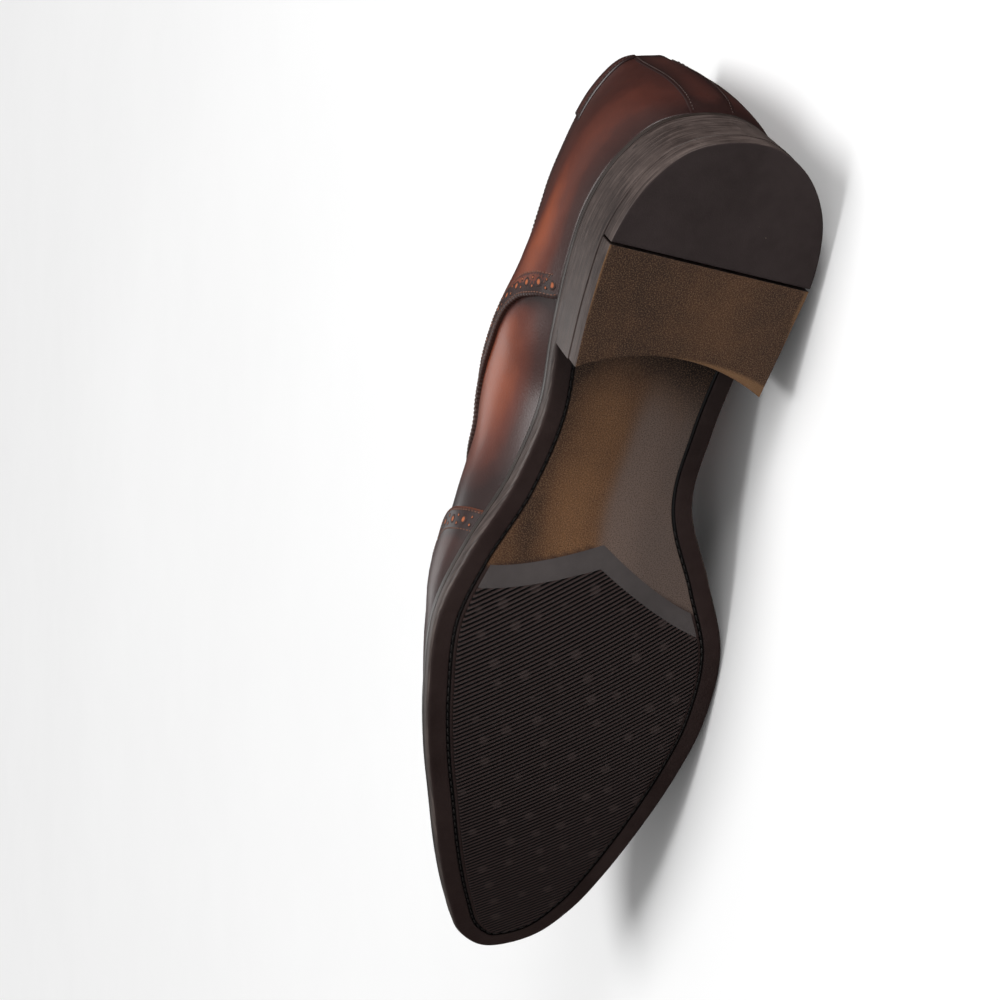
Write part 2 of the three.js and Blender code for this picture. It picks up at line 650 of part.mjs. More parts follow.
// One straight bar of the lace, from above an eyelet, over the gap, to above its fellow
function laceBarSolid(s) {
  const lift = overlayThickness + 2 * gap;
  const half = laceWidth / 2;
  const surface = (up) => [-1, 1].map((end) => {
    const path = [];
    for (const side of [-1, 1]) {
      const stops = [vBelow(side * s, eyeletInset), vBelow(side * s, eyeletInset / 2), 1 - topMargin];
      const leg = stops.map((v) => onWall(side * s, v, lift + up));
      path.push(...(side < 0 ? leg : leg.reverse()));
    }
    const along = onWall(s + 0.01, 0.98, 0).sub(onWall(s - 0.01, 0.98, 0)).setY(0).normalize();
    return path.map((p) => p.addScaledVector(along, end * half));
  });
  return sheet(surface(laceThickness), surface(0));
}

// Assembly

const leather = { color: 0x4a1f12, roughness: 0.34, metalness: 0 };
const darkLeather = { color: 0x2b1511, roughness: 0.36, metalness: 0 };
const edgeLeather = { color: 0x2a1c18, roughness: 0.42, metalness: 0 };
const soleLeather = { color: 0x3a2415, roughness: 0.5, metalness: 0 };
const rubber = { color: 0x1a1414, roughness: 0.7, metalness: 0 };
const lining = { color: 0x6b3f26, roughness: 0.7, metalness: 0 };
const cotton = { color: 0x1f1210, roughness: 0.8, metalness: 0 };

const standing = new THREE.Group();

function add(name, solid, finish) {
  const mesh = solid.simplify(tidiness).getMesh();
  const geometry = new THREE.BufferGeometry();
  const positions = new Float32Array(mesh.numVert * 3);
  for (let i = 0; i < mesh.numVert; i += 1) {
    positions.set(mesh.vertProperties.subarray(i * mesh.numProp, i * mesh.numProp + 3), i * 3);
  }
  geometry.setAttribute('position', new THREE.BufferAttribute(positions, 3));
  geometry.setIndex(new THREE.BufferAttribute(mesh.triVerts, 1));
  geometry.computeVertexNormals();
  const piece = new THREE.Mesh(geometry, new THREE.MeshStandardMaterial(finish));
  piece.name = name;
  standing.add(piece);
}

add('outsole', outsoleSolid(), soleLeather);
add('rubber_forepart', insertSolid(0, insertThickness - insertProud, insertProud), rubber);
add('welt', weltSolid(), edgeLeather);
add('insole', insoleSolid(), lining);
add('heel_stack', heelStackSolid(), edgeLeather);
add('top_piece_rubber', topPieceSolid(0, heelLength * rubberShare), rubber);
add('top_piece_leather', topPieceSolid(heelLength * rubberShare + 2 * gap, heelLength), soleLeather);

const pins = { 1: eyeletPins(1), [-1]: eyeletPins(-1) };
const overlay = wallSolid(gap + overlayThickness, gap);
const quarter = (side) => largest(overlay.intersect(quarterCutter(side)).subtract(collarCutter(side, gap))
  .subtract(pins[side]));
add('upper', wallSolid(0, -upperWall).subtract(pins[1]).subtract(pins[-1]), leather);
add('wing_cap', largest(overlay.intersect(wingCutter())), darkLeather);
add('quarter_lateral', quarter(1), leather);
add('quarter_medial', quarter(-1), leather);
add('back_strip', largest(overlay.intersect(stripCutter())), darkLeather);
add('collar_band_lateral', largest(overlay.intersect(collarCutter(1, 0))), darkLeather);
add('collar_band_medial', largest(overlay.intersect(collarCutter(-1, 0))), darkLeather);
add('tongue', tongueSolid(), leather);
eyelets.forEach((s, i) => add(`lace_bar_${i + 1}`, laceBarSolid(s), cotton));

// Lay the shoe down: the standing group turns inside one that drops it onto the table and centres it
standing.rotation.set(THREE.MathUtils.degToRad(layRoll), THREE.MathUtils.degToRad(layTip),
  THREE.MathUtils.degToRad(layTurn), 'ZYX');
const shoe = new THREE.Group();
shoe.add(standing);
shoe.updateMatrixWorld(true);
const box = new THREE.Box3().setFromObject(shoe, true);
standing.position.set(-(box.min.x + box.max.x) / 2, -(box.min.y + box.max.y) / 2, -box.min.z);

export default shoe;
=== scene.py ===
import math

import bmesh
import bpy
import numpy as np
from mathutils import Matrix, Vector


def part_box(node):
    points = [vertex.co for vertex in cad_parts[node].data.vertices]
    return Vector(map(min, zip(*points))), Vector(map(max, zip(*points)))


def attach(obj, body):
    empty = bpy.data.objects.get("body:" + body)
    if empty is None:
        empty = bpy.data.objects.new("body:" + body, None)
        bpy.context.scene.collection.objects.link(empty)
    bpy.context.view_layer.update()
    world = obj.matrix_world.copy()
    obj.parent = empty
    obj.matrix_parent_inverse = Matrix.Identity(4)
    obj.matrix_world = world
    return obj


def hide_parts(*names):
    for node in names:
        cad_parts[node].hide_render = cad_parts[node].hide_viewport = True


# A man's full brogue derby, left foot, lying on its medial side. The shapes are worked out standing, in
# metres: x runs from the back of the heel to the toe, y towards the lateral side and z up from the floor.
# layDown() puts them into the row. A place on the upper is w, v: w is the share of a side's length from the
# heel, minus on the medial side, and v the share of the wall's height from the welt to the top line.

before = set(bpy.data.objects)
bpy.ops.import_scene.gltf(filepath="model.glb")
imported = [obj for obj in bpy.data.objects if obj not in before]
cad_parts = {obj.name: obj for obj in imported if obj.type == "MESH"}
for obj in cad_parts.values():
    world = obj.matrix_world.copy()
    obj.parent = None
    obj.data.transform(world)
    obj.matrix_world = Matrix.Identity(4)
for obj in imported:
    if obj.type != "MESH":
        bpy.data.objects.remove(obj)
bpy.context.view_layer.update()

shoe = {
    "length": 0.308,
    "ballWidth": 0.105,
    "heelHeight": 0.0205,
    "toeSpring": 0.0145,
    "outsole": 0.0046,
    "welt": 0.0024,
    "weltReach": 0.0052,
    "waistReach": 0.0022,
    "seatReach": 0.0009,
    "backHeight": 0.0705,
    "instepHeight": 0.096,
    "toeHeight": 0.0185,
    "facingGap": 0.017,
    "gap": 0.0003,
    "throat": 0.585,
    "pole": 0.91,
    "wall": 0.0022,
    "overlay": 0.0012,
}
soleThickness = shoe["outsole"] + shoe["welt"]

# The same tables as the part's: shares of the length, the ball width and the named heights
outlineTable = {
    "along": [0.018, 0.058, 0.114, 0.179, 0.253, 0.324, 0.400, 0.477, 0.552, 0.640, 0.710, 0.779, 0.860,
              0.929, 0.979],
    "lateral": [0.205, 0.307, 0.361, 0.366, 0.350, 0.330, 0.371, 0.463, 0.513, 0.474, 0.415, 0.338, 0.240,
                0.139, 0.045],
    "medial": [0.145, 0.245, 0.286, 0.275, 0.254, 0.232, 0.230, 0.348, 0.457, 0.481, 0.458, 0.418, 0.366,
               0.308, 0.217],
}
toeTip = {"along": 1.0, "lateral": -0.070}
undersideTable = {
    "along": [-0.03, 0.13, 0.253, 0.357, 0.487, 0.60, 0.666, 0.747, 0.844, 0.942, 1.0, 1.03],
    "seat": [1.01, 0.98, 0.90, 0.69, 0.27, 0.04, 0, 0, 0, 0, 0, 0],
    "spring": [0, 0, 0, 0, 0, 0, 0, 0.06, 0.30, 0.71, 1.0, 1.14],
}
spineTable = {
    "along": [0, 0.07, 0.16, 0.32, 0.49, 0.65, 0.81, 1.0],
    "out": [-0.026, -0.010, 0.006, 0.032, 0.028, -0.002, -0.036, -0.070],
}
ridgeTable = {
    "along": [0.52, 0.56, 0.61, 0.67, 0.75, 0.82, 0.87, 0.91],
    "instep": [0.630, 0.588, 0.535, 0.370, 0.150, 0, 0, 0],
    "toe": [0, 0, 0, 0.60, 1.43, 1.87, 1.62, 1.33],
}
topTable = {
    "s": [0, 0.05, 0.10, 0.15, 0.20, 0.25, 0.30, 0.34, 0.37, 0.40, 0.44, 0.50, 0.55, 0.57, 0.585, 0.62,
          0.70, 0.78, 0.86, 0.91, 1.0],
    "along": [0.010, 0.020, 0.054, 0.105, 0.162, 0.218, 0.269, 0.308, 0.334, 0.362, 0.402, 0.462, 0.511,
              0.530, 0.5455, 0.586, 0.680, 0.771, 0.852, 0.884, 0.884],
    "collar": [0, 0.105, 0.182, 0.232, 0.260, 0.256, 0.218, 0.120, 0.045, 0.010, 0, 0, 0, 0, 0, 0, 0, 0, 0,
               0, 0],
    "facing": [0, 0, 0, 0, 0, 0, 0, 0.30, 0.52, 0.55, 0.50, 0.44, 0.36, 0.26, 0, 0, 0, 0, 0, 0, 0],
    "back": [1.0, 0.992, 0.945, 0.862, 0.785, 0.755, 0.400, 0.110, 0, 0, 0, 0, 0, 0, 0, 0, 0, 0, 0, 0, 0],
    "instep": [0, 0, 0, 0, 0, 0, 0.290, 0.610, 0.765, 0.800, 0.765, 0.698, 0.638, 0.618, 0.604, 0, 0, 0, 0,
               0, 0],
}
wallTable = {
    "s": [0, 0.10, 0.18, 0.25, 0.32, 0.38, 0.45, 0.52, 0.57, 0.62, 0.70, 0.78, 0.86, 1.0],
    "rise": [0.36, 0.36, 0.36, 0.39, 0.42, 0.44, 0.45, 0.45, 0.47, 0.49, 0.53, 0.57, 0.60, 0.62],
    "lateral": [0.046, 0.040, 0.044, 0.090, 0.178, 0.145, 0.080, 0.052, 0.048, 0.046, 0.038, 0.030, 0.020,
                0.012],
    "medial": [0.046, 0.010, 0.008, 0.040, 0.105, 0.120, 0.095, 0.062, 0.048, 0.044, 0.036, 0.030, 0.020,
               0.012],
    "over": [0.030, 0.034, 0.045, 0.080, 0.160, 0.210, 0.190, 0.190, 0.215, 0.240, 0.230, 0.200, 0.170,
             0.150],
    "fall": [0.34, 0.34, 0.35, 0.34, 0.30, 0.25, 0.19, 0.12, 0.05, 0, 0, 0, 0, 0],
}


# Number helpers

def ramp(x, low, high):
    # smooth step: t * t * (3 - 2 t), where t goes from 0 at low to 1 at high
    t = np.clip((x - low) / (high - low), 0, 1)
    return t * t * (3 - 2 * t)


def hump(x, middle, width):
    # bell curve exp(-((x - middle) / width) ^ 2)
    return np.exp(-((x - middle) / width) ** 2)


def readTable(table, key, column, at):
    # cubic between a table's rows; each tangent is the harmonic mean of the slopes beside it, so nothing
    # overshoots
    keys = np.array(table[key], float)
    values = np.array(table[column], float)
    at = np.clip(at, keys[0], keys[-1])
    slopes = np.diff(values) / np.diff(keys)
    before, after = slopes[:-1], slopes[1:]
    total = np.where(before + after == 0, 1, before + after)
    bends = np.where(before * after > 0, 2 * before * after / total, 0)
    tangents = np.concatenate([slopes[:1], bends, slopes[-1:]])
    i = np.clip(np.searchsorted(keys, at) - 1, 0, len(keys) - 2)
    width = keys[i + 1] - keys[i]
    t = (at - keys[i]) / width
    straight = values[i] + (values[i + 1] - values[i]) * t * t * (3 - 2 * t)
    return straight + width * (t * (1 - t) ** 2 * tangents[i] - t * t * (1 - t) * tangents[i + 1])


def unit(vectors):
    # each vector divided by its length
    return vectors / np.maximum(np.linalg.norm(vectors, axis=-1, keepdims=True), 1e-12)


def runAlong(points):
    # length along a line of points, up to each of them
    return np.concatenate([[0], np.cumsum(np.linalg.norm(np.diff(points, axis=0), axis=1))])


def stack(x, y, z):
    # three arrays of coordinates as one array of places
    return np.stack(np.broadcast_arrays(x, y, z), axis=-1)


# The last: sole outline, underside, feather line, top line and the wall between them

def undersideHeight(x):
    # height of the sole's underside: the seat on the heel plus the spring of the toe
    t = x / shoe["length"]
    return (shoe["heelHeight"] * readTable(undersideTable, "along", "seat", t)
            + shoe["toeSpring"] * readTable(undersideTable, "along", "spring", t))


def spineY(x):
    # how far the ridge of the last lies to the lateral side
    return shoe["ballWidth"] * readTable(spineTable, "along", "out", x / shoe["length"])


def closedCurve(points, perSpan):
    # centripetal Catmull-Rom: each span is a cubic whose end tangents are weighted by the root of the chords
    p0, p1, p2, p3 = [np.roll(points, k, axis=0) for k in (1, 0, -1, -2)]
    d0, d1, d2 = [np.sqrt(np.linalg.norm(b - a, axis=1))[:, None] for a, b in ((p0, p1), (p1, p2), (p2, p3))]
    t1 = ((p1 - p0) / d0 - (p2 - p0) / (d0 + d1) + (p2 - p1) / d1) * d1
    t2 = ((p2 - p1) / d1 - (p3 - p1) / (d1 + d2) + (p3 - p2) / d2) * d1
    t = np.linspace(0, 1, perSpan, endpoint=False)[None, :, None]
    a, b, c, d = [k[:, None, :] for k in (p1, t1, -3 * p1 + 3 * p2 - 2 * t1 - t2, 2 * p1 - 2 * p2 + t1 + t2)]
    return (a + b * t + c * t ** 2 + d * t ** 3).reshape(-1, 2)


def sideOfOutline(points, outward):
    # one side from heel to toe: share of its length, place, and direction outwards
    run = runAlong(points)
    tangent = unit(np.gradient(points, axis=0))
    normal = np.stack([-tangent[:, 1], tangent[:, 0]], axis=1) * outward
    normal[0] = (-1, 0)
    return {"s": run / run[-1], "length": run[-1], "x": points[:, 0], "y": points[:, 1],
            "nx": normal[:, 0], "ny": normal[:, 1]}


def makeOutline():
    # the table's places joined heel, lateral, toe, medial by a closed curve, then cut into its two sides
    along, lateral, medial = [np.array(outlineTable[k]) for k in ("along", "lateral", "medial")]
    out = np.stack([along, lateral], axis=1)
    back = np.stack([along, -medial], axis=1)[::-1]
    rows = np.concatenate([[[0, 0]], out, [[toeTip["along"], toeTip["lateral"]]], back])
    points = closedCurve(rows * [shoe["length"], shoe["ballWidth"]], 160)
    half = len(points) // 2
    return {1: sideOfOutline(points[:half + 1], 1),
            -1: sideOfOutline(np.concatenate([points[half:], points[:1]])[::-1], -1)}


outline = makeOutline()


def outlineAt(side, s):
    # place and outward direction at a share s of a side's length
    side, s = np.broadcast_arrays(side, s)
    return {k: np.where(side > 0, np.interp(s, outline[1]["s"], outline[1][k]),
                        np.interp(s, outline[-1]["s"], outline[-1][k])) for k in ("x", "y", "nx", "ny")}


def insetAt(side, s, inset):
    # the same, moved inwards from the edge
    at = outlineAt(side, s)
    return {**at, "x": at["x"] - at["nx"] * inset, "y": at["y"] - at["ny"] * inset}


def reachAt(x):
    # how far the welt stands out from the upper: least at the seat, more at the waist, most at the forepart
    t = x / shoe["length"]
    heel = shoe["seatReach"] + (shoe["waistReach"] - shoe["seatReach"]) * ramp(t, 0.2, 0.33)
    return heel + (shoe["weltReach"] - heel) * ramp(t, 0.4, 0.6)


def featherAt(side, s):
    # the line where the upper meets the welt: the outline less the welt's reach
    foot = insetAt(side, s, reachAt(outlineAt(side, s)["x"]))
    foot["z"] = undersideHeight(foot["x"]) + soleThickness + shoe["gap"]
    return foot


def ridgeHeight(x):
    # height of the ridge along the top of the last: the table's shares of instep and toe height over the welt
    t = x / shoe["length"]
    return (undersideHeight(x) + soleThickness
            + shoe["instepHeight"] * readTable(ridgeTable, "along", "instep", t)
            + shoe["toeHeight"] * readTable(ridgeTable, "along", "toe", t))


def ridgeSlope(x):
    # rise of the ridge over a short step to either side
    step = 0.0005
    return (ridgeHeight(x + step) - ridgeHeight(x - step)) / 0.001


def topAt(side, s):
    # the top line by table: collar and facing edges as far as the throat, from there on the ridge itself
    x = readTable(topTable, "s", "along", s) * shoe["length"]
    out = (readTable(topTable, "s", "collar", s) * shoe["ballWidth"]
           + readTable(topTable, "s", "facing", s) * shoe["facingGap"])
    height = (readTable(topTable, "s", "back", s) * shoe["backHeight"]
              + readTable(topTable, "s", "instep", s) * shoe["instepHeight"])
    onRidge = s >= shoe["throat"]
    y = spineY(x) + np.where(onRidge, 0, side * out)
    return stack(x, y, np.where(onRidge, ridgeHeight(x), undersideHeight(x) + soleThickness + height))


def wallPoint(side, s, v):
    # cubic Bezier from the feather line to the top line; its two inner points lean out by the wall table
    side, s, v = np.broadcast_arrays(side, s, v)
    foot, top = featherAt(side, s), topAt(side, s)
    low0 = stack(foot["x"], foot["y"], foot["z"])
    height = top[..., 2] - foot["z"]
    bulge = shoe["ballWidth"] * np.where(side > 0, readTable(wallTable, "s", "lateral", s),
                                         readTable(wallTable, "s", "medial", s))
    over = shoe["ballWidth"] * readTable(wallTable, "s", "over", s)
    away = unit(low0[..., :2] - top[..., :2])
    lean = ridgeSlope(top[..., 0]) * ramp(s, shoe["throat"] - 0.1, shoe["throat"])
    low = stack(foot["x"] + foot["nx"] * bulge, foot["y"] + foot["ny"] * bulge,
                foot["z"] + readTable(wallTable, "s", "rise", s) * height)
    high = stack(top[..., 0] + away[..., 0] * over, top[..., 1] + away[..., 1] * over,
                 top[..., 2] + lean * away[..., 0] * over - readTable(wallTable, "s", "fall", s) * height)
    v = v[..., None]
    return low0 * (1 - v) ** 3 + low * 3 * v * (1 - v) ** 2 + high * 3 * v * v * (1 - v) + top * v ** 3


def wallNormal(side, s, v):
    # cross product of the two directions along the wall; on the ridge and at heel and toe the sides share one
    side, s, v = np.broadcast_arrays(side, s, v)
    step = 0.004
    onRidge = (s > shoe["throat"] - 1e-6) & (v > 1 - 1e-6)
    level = np.where(onRidge, 0.97, v)

    def facing(which):
        # one side's normal, from short steps to both sides of the place
        along = (wallPoint(which, np.minimum(1, s + step), level)
                 - wallPoint(which, np.maximum(0, s - step), level))
        up = (wallPoint(which, s, np.minimum(1, level + step))
              - wallPoint(which, s, np.maximum(0, level - step)))
        return unit(np.cross(up, along)) * which[..., None]

    shared = onRidge | (s < 1e-6) | (s > 1 - 1e-6)
    normal = facing(side) + np.where(shared[..., None], facing(-side), 0)
    pole = np.array([-float(ridgeSlope(topAt(1, np.array(1.0))[0])), 0, 1])
    return unit(np.where((onRidge & (s > shoe["pole"] - 1e-6))[..., None], pole, normal))


def creaseDepth(w, v):
    # Flex folds across the vamp and soft ripples in the quarter: each is a trough with a ridge on either
    # side, along a line s0 + bend * (1 - v), that fades out at both ends of its stretch of v
    s = np.abs(w)
    depth = np.zeros(np.broadcast(w, v).shape)
    for fold in creases["folds"]:
        line = s - fold["s"] - fold["bend"] * (1 - v) - fold["skew"] * np.sign(w)
        across = line / fold["width"]
        shape = (1 - 0.9 * across ** 2) * np.exp(-across ** 2)
        depth = depth - fold["depth"] * shape * ramp(v, fold["from"], fold["from"] + 0.2)
    for dent in creases["ripples"]:
        depth = depth + dent["lift"] * hump(w, dent["w"], dent["length"]) * hump(v, dent["v"], dent["height"])
    return depth


creases = {
    "folds": [
        {"s": 0.600, "bend": -0.11, "skew": 0.004, "width": 0.010, "depth": 0.00055, "from": 0.42},
        {"s": 0.634, "bend": -0.12, "skew": -0.003, "width": 0.009, "depth": 0.00045, "from": 0.50},
        {"s": 0.662, "bend": -0.10, "skew": 0.002, "width": 0.010, "depth": 0.00030, "from": 0.55},
    ],
    "ripples": [
        {"w": 0.20, "v": 0.72, "length": 0.030, "height": 0.12, "lift": -0.0005},
        {"w": -0.21, "v": 0.70, "length": 0.035, "height": 0.14, "lift": -0.0006},
        {"w": 0.33, "v": 0.40, "length": 0.050, "height": 0.12, "lift": -0.0004},
        {"w": 0.44, "v": 0.22, "length": 0.030, "height": 0.10, "lift": 0.0003},
    ],
}


def onWall(w, v, lift=0.0):
    # a place on the wall, lifted off it along its normal; creases move every layer of the upper alike
    side = np.where(np.asarray(w) < 0, -1, 1)
    s = np.abs(w)
    v = np.clip(v, 0, 1)
    off = lift + creaseDepth(w, v)
    return wallPoint(side, s, v) + wallNormal(side, s, v) * np.asarray(off)[..., None]


def bareWall(w, v):
    # the wall with neither lift nor creases, for finding places on it
    return wallPoint(np.where(np.asarray(w) < 0, -1, 1), np.abs(w), np.clip(v, 0, 1))


def walk(w, v, direction, distance, steps=4):
    # moves places w, v over the wall by a distance in a direction: small steps, each turned into w and v by
    # least squares on the two directions of the wall
    w, v = np.array(w, float), np.array(v, float)
    step = 0.002
    for _ in range(steps):
        alongW = (bareWall(w + step, v) - bareWall(w - step, v)) / (2 * step)
        upV = (bareWall(w, np.minimum(1, v + step)) - bareWall(w, np.maximum(0, v - step)))
        upV = upV / (np.minimum(1, v + step) - np.maximum(0, v - step))[..., None]
        a, b, c = (alongW ** 2).sum(-1), (alongW * upV).sum(-1), (upV ** 2).sum(-1)
        p = (alongW * direction).sum(-1) * distance / steps
        q = (upV * direction).sum(-1) * distance / steps
        det = np.maximum(a * c - b * b, 1e-14)
        w = w + (p * c - q * b) / det
        v = np.clip(v + (q * a - p * b) / det, 0.0, 1.0)
    return w, v


def halve(placeAt, like, limit, distance):
    # the share, from 0 to a limit, at which a place is a distance from the one at 0, by halving the stretch
    start = placeAt(np.zeros_like(like))
    low, high = np.zeros_like(like), np.full_like(like, limit)
    for _ in range(22):
        middle = (low + high) / 2
        near = np.linalg.norm(placeAt(middle) - start, axis=-1) < distance
        low, high = np.where(near, middle, low), np.where(near, high, middle)
    return low


def vBelow(w, distance):
    # the v a distance below the top line
    w = np.asarray(w, float)
    return 1 - halve(lambda down: bareWall(w, 1 - down), w, 0.5, distance)


def wFromBack(v, distance):
    # the w that lies a distance from the outline's start, above 0 on the lateral side
    v, distance = np.broadcast_arrays(np.asarray(v, float), distance)
    side = np.where(distance < 0, -1, 1)
    return side * halve(lambda share: bareWall(side * share, v), v, 0.2, np.abs(distance))


def stripMiddle(v):
    # how far the back strip's middle lies to the lateral side, less towards the top
    return upper["stripShift"] + (upper["stripShiftTop"] - upper["stripShift"]) * v


def stripEdge(side, v, margin):
    # edge of the back strip on a side, moved outwards by a margin
    return np.abs(wFromBack(v, stripMiddle(v) + side * (upper["stripHalfWidth"] + margin)))


# Laying down: roll, tip and turn as the part does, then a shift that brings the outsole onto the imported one

lay = {"roll": 93.74, "tip": -6.6, "turn": -0.5}
bevelHeight = 0.0012
aboutX, aboutY, aboutZ = [Matrix.Rotation(math.radians(lay[key]), 3, axis)
                          for key, axis in (("roll", "X"), ("tip", "Y"), ("turn", "Z"))]
turned = np.array(aboutZ @ aboutY @ aboutX)


def shiftOntoFrame():
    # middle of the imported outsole's box less the middle of this one's, once turned
    sides, shares = np.meshgrid([1, -1], np.linspace(0, 1, 400), indexing="ij")
    edge = outlineAt(sides, shares)
    low = undersideHeight(edge["x"])
    points = np.concatenate([stack(edge["x"], edge["y"], low + up).reshape(-1, 3)
                             for up in (bevelHeight, shoe["outsole"])])
    mine = points @ turned.T
    cadLow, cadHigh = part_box("outsole")
    return (np.array(cadLow) + np.array(cadHigh)) / 2 - (mine.min(0) + mine.max(0)) / 2


shift = shiftOntoFrame()


def layDown(points):
    # from the standing shoe's places to the row's: turned, then shifted
    return np.asarray(points, float).reshape(-1, 3) @ turned.T + shift


# Mesh helpers: a piece is one or more grids of points, joined by four-sided faces

def gridFaces(rows, columns, start=0):
    # four-sided faces of a grid whose points are numbered row by row
    first = start + np.arange((rows - 1) * columns).reshape(rows - 1, columns)[:, :-1]
    return np.stack([first, first + columns, first + columns + 1, first + 1], axis=-1).reshape(-1, 4)


def stripFaces(one, other):
    # faces between two equally long runs of point numbers
    return np.stack([one[:-1], one[1:], other[1:], other[:-1]], axis=-1)


def outwardFaces(points, faces):
    # a closed skin's volume is the sum of dot(a, cross(b, c)) / 6; where it is negative the faces are
    # turned round
    a, b, c, d = [points[faces[:, k]] for k in range(4)]
    volume = (a * (np.cross(b, c) + np.cross(c, d))).sum()
    return faces if volume > 0 else faces[:, ::-1]


def gridSkin(grid):
    # the faces of a grid that closes on itself
    return outwardFaces(grid.reshape(-1, 3), gridFaces(*grid.shape[:2]))


def shellMesh(outer, inner, closed=("start", "end", "low", "high"), highRows=None):
    # two grids of the same size, closed along the named borders; highRows says where the high one is open
    rows, columns = outer.shape[:2]
    points = np.concatenate([outer.reshape(-1, 3), inner.reshape(-1, 3)])
    top = np.arange(rows * columns).reshape(rows, columns)
    low = top + rows * columns
    rims = {"start": stripFaces(top[0], low[0])[:, ::-1], "end": stripFaces(top[-1], low[-1]),
            "low": stripFaces(top[:, 0], low[:, 0]), "high": stripFaces(top[:, -1], low[:, -1])[:, ::-1]}
    if highRows is not None:
        rims["high"] = rims["high"][highRows]
    faces = np.concatenate([gridFaces(rows, columns), gridFaces(rows, columns, rows * columns)[:, ::-1]]
                           + [rims[name] for name in closed])
    return points, outwardFaces(points, faces)


def joinRow(name, mesh):
    # the mesh as an object of the scene that goes with the part's one body
    piece = bpy.data.objects.new(name, mesh)
    bpy.context.scene.collection.objects.link(piece)
    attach(piece, "root")
    return piece


def makePiece(name, points, faces, material, nodes=(), uv=None, masks=None, sharp=38,
              edges=None):
    # edges are the material of the piece's sides and which faces they are; what would pass the floor is laid
    # flat on it
    mesh = bpy.data.meshes.new(name)
    points = layDown(np.asarray(points, float).reshape(-1, 3))
    points[:, 2] = np.maximum(points[:, 2], 0)
    mesh.from_pydata(points.tolist(), [], np.asarray(faces).tolist())
    if uv is not None:
        corners = np.zeros(len(mesh.loops), np.int32)
        mesh.loops.foreach_get("vertex_index", corners)
        flat = np.asarray(uv, np.float32).reshape(-1, 2)[corners]
        mesh.uv_layers.new(name="UVMap").data.foreach_set("uv", flat.ravel())
    for key, values in (masks or {}).items():
        values = np.asarray(values, np.float32).ravel()
        mesh.attributes.new(key, "FLOAT", "POINT").data.foreach_set("value", values)
    mesh.materials.append(material)
    if edges:
        mesh.materials.append(edges[0])
        mesh.polygons.foreach_set("material_index", np.asarray(edges[1], np.int32))
    work = bmesh.new()
    work.from_mesh(mesh)
    bmesh.ops.remove_doubles(work, verts=work.verts, dist=2e-6)
    work.to_mesh(mesh)
    work.free()
    mesh.shade_smooth()
    mesh.set_sharp_from_angle(angle=math.radians(sharp))
    piece = joinRow(name, mesh)
    if nodes:
        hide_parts(*nodes)
    return piece


def placeMany(template, faces, places, along, across, up):
    # the template's points are lengths along, across and up; each copy is turned to its own three directions
    ahead, beside, above = [template[None, :, k:k + 1] for k in range(3)]
    points = places[:, None] + ahead * along[:, None] + beside * across[:, None] + above * up[:, None]
    numbers = faces[None] + (np.arange(len(places)) * len(template))[:, None, None]
    return points.reshape(-1, 3), numbers.reshape(-1, faces.shape[1])


def borderDistance(grid, borders):
    # least distance of each grid point from the named borders, measured along the grid's own lines
    steps = [np.linalg.norm(np.diff(grid, axis=axis), axis=-1) for axis in (0, 1)]
    down = np.concatenate([np.zeros((1, grid.shape[1])), np.cumsum(steps[0], 0)])
    over = np.concatenate([np.zeros((grid.shape[0], 1)), np.cumsum(steps[1], 1)], 1)
    found = {"start": down, "end": down[-1:] - down, "low": over, "high": over[:, -1:] - over}
    return np.min([found[b] for b in borders], axis=0)


# Material helpers

def addNode(tree, kind, values=None, **settings):
    # a node with its settings; each input is given a value, or joined to another node's output
    made = tree.nodes.new(kind)
    for key, value in settings.items():
        setattr(made, key, value)
    for key, value in (values or {}).items():
        if isinstance(value, bpy.types.NodeSocket):
            tree.links.new(value, made.inputs[key])
        else:
            made.inputs[key].default_value = value
    return made


def calculate(tree, operation, a, b=0.0, c=0.0, clamp=False):
    # one sum of up to three numbers
    values = {0: a, 1: b, 2: c}
    return addNode(tree, "ShaderNodeMath", values, operation=operation, use_clamp=clamp).outputs[0]


def fade(tree, value, low, high, start=0.0, end=1.0):
    # smooth step from start, where the value is low, to end, where it is high
    values = {"Value": value, "From Min": low, "From Max": high, "To Min": start, "To Max": end}
    return addNode(tree, "ShaderNodeMapRange", values, interpolation_type="SMOOTHSTEP").outputs[0]


def blendColors(tree, factor, a, b):
    # a where the factor is 0, b where it is 1
    return addNode(tree, "ShaderNodeMix", {"Factor": factor, 6: a, 7: b}, data_type="RGBA").outputs[2]


def colorRamp(tree, factor, stops):
    # stops are pairs of a place from 0 to 1 and a colour, with straight blends between them
    made = addNode(tree, "ShaderNodeValToRGB", {"Fac": factor})
    ramp = made.color_ramp
    while len(ramp.elements) < len(stops):
        ramp.elements.new(0.5)
    for element, (place, color) in zip(ramp.elements, stops):
        element.position = place
        element.color = (*color, 1)
    return made.outputs[0]


def attribute(tree, name):
    # one of the numbers that a piece's points carry
    return addNode(tree, "ShaderNodeAttribute", attribute_name=name).outputs["Fac"]


def newGroup(name, inputs, outputs):
    # an empty node group; inputs are name, kind and value, outputs name and kind
    group = bpy.data.node_groups.new(name, "ShaderNodeTree")
    for key, kind, value in inputs:
        made = group.interface.new_socket(name=key, in_out="INPUT", socket_type="NodeSocket" + kind)
        if value is not None:
            made.default_value = value
    for key, kind in outputs:
        group.interface.new_socket(name=key, in_out="OUTPUT", socket_type="NodeSocket" + kind)
    return group, group.nodes.new("NodeGroupInput").outputs, group.nodes.new("NodeGroupOutput").inputs


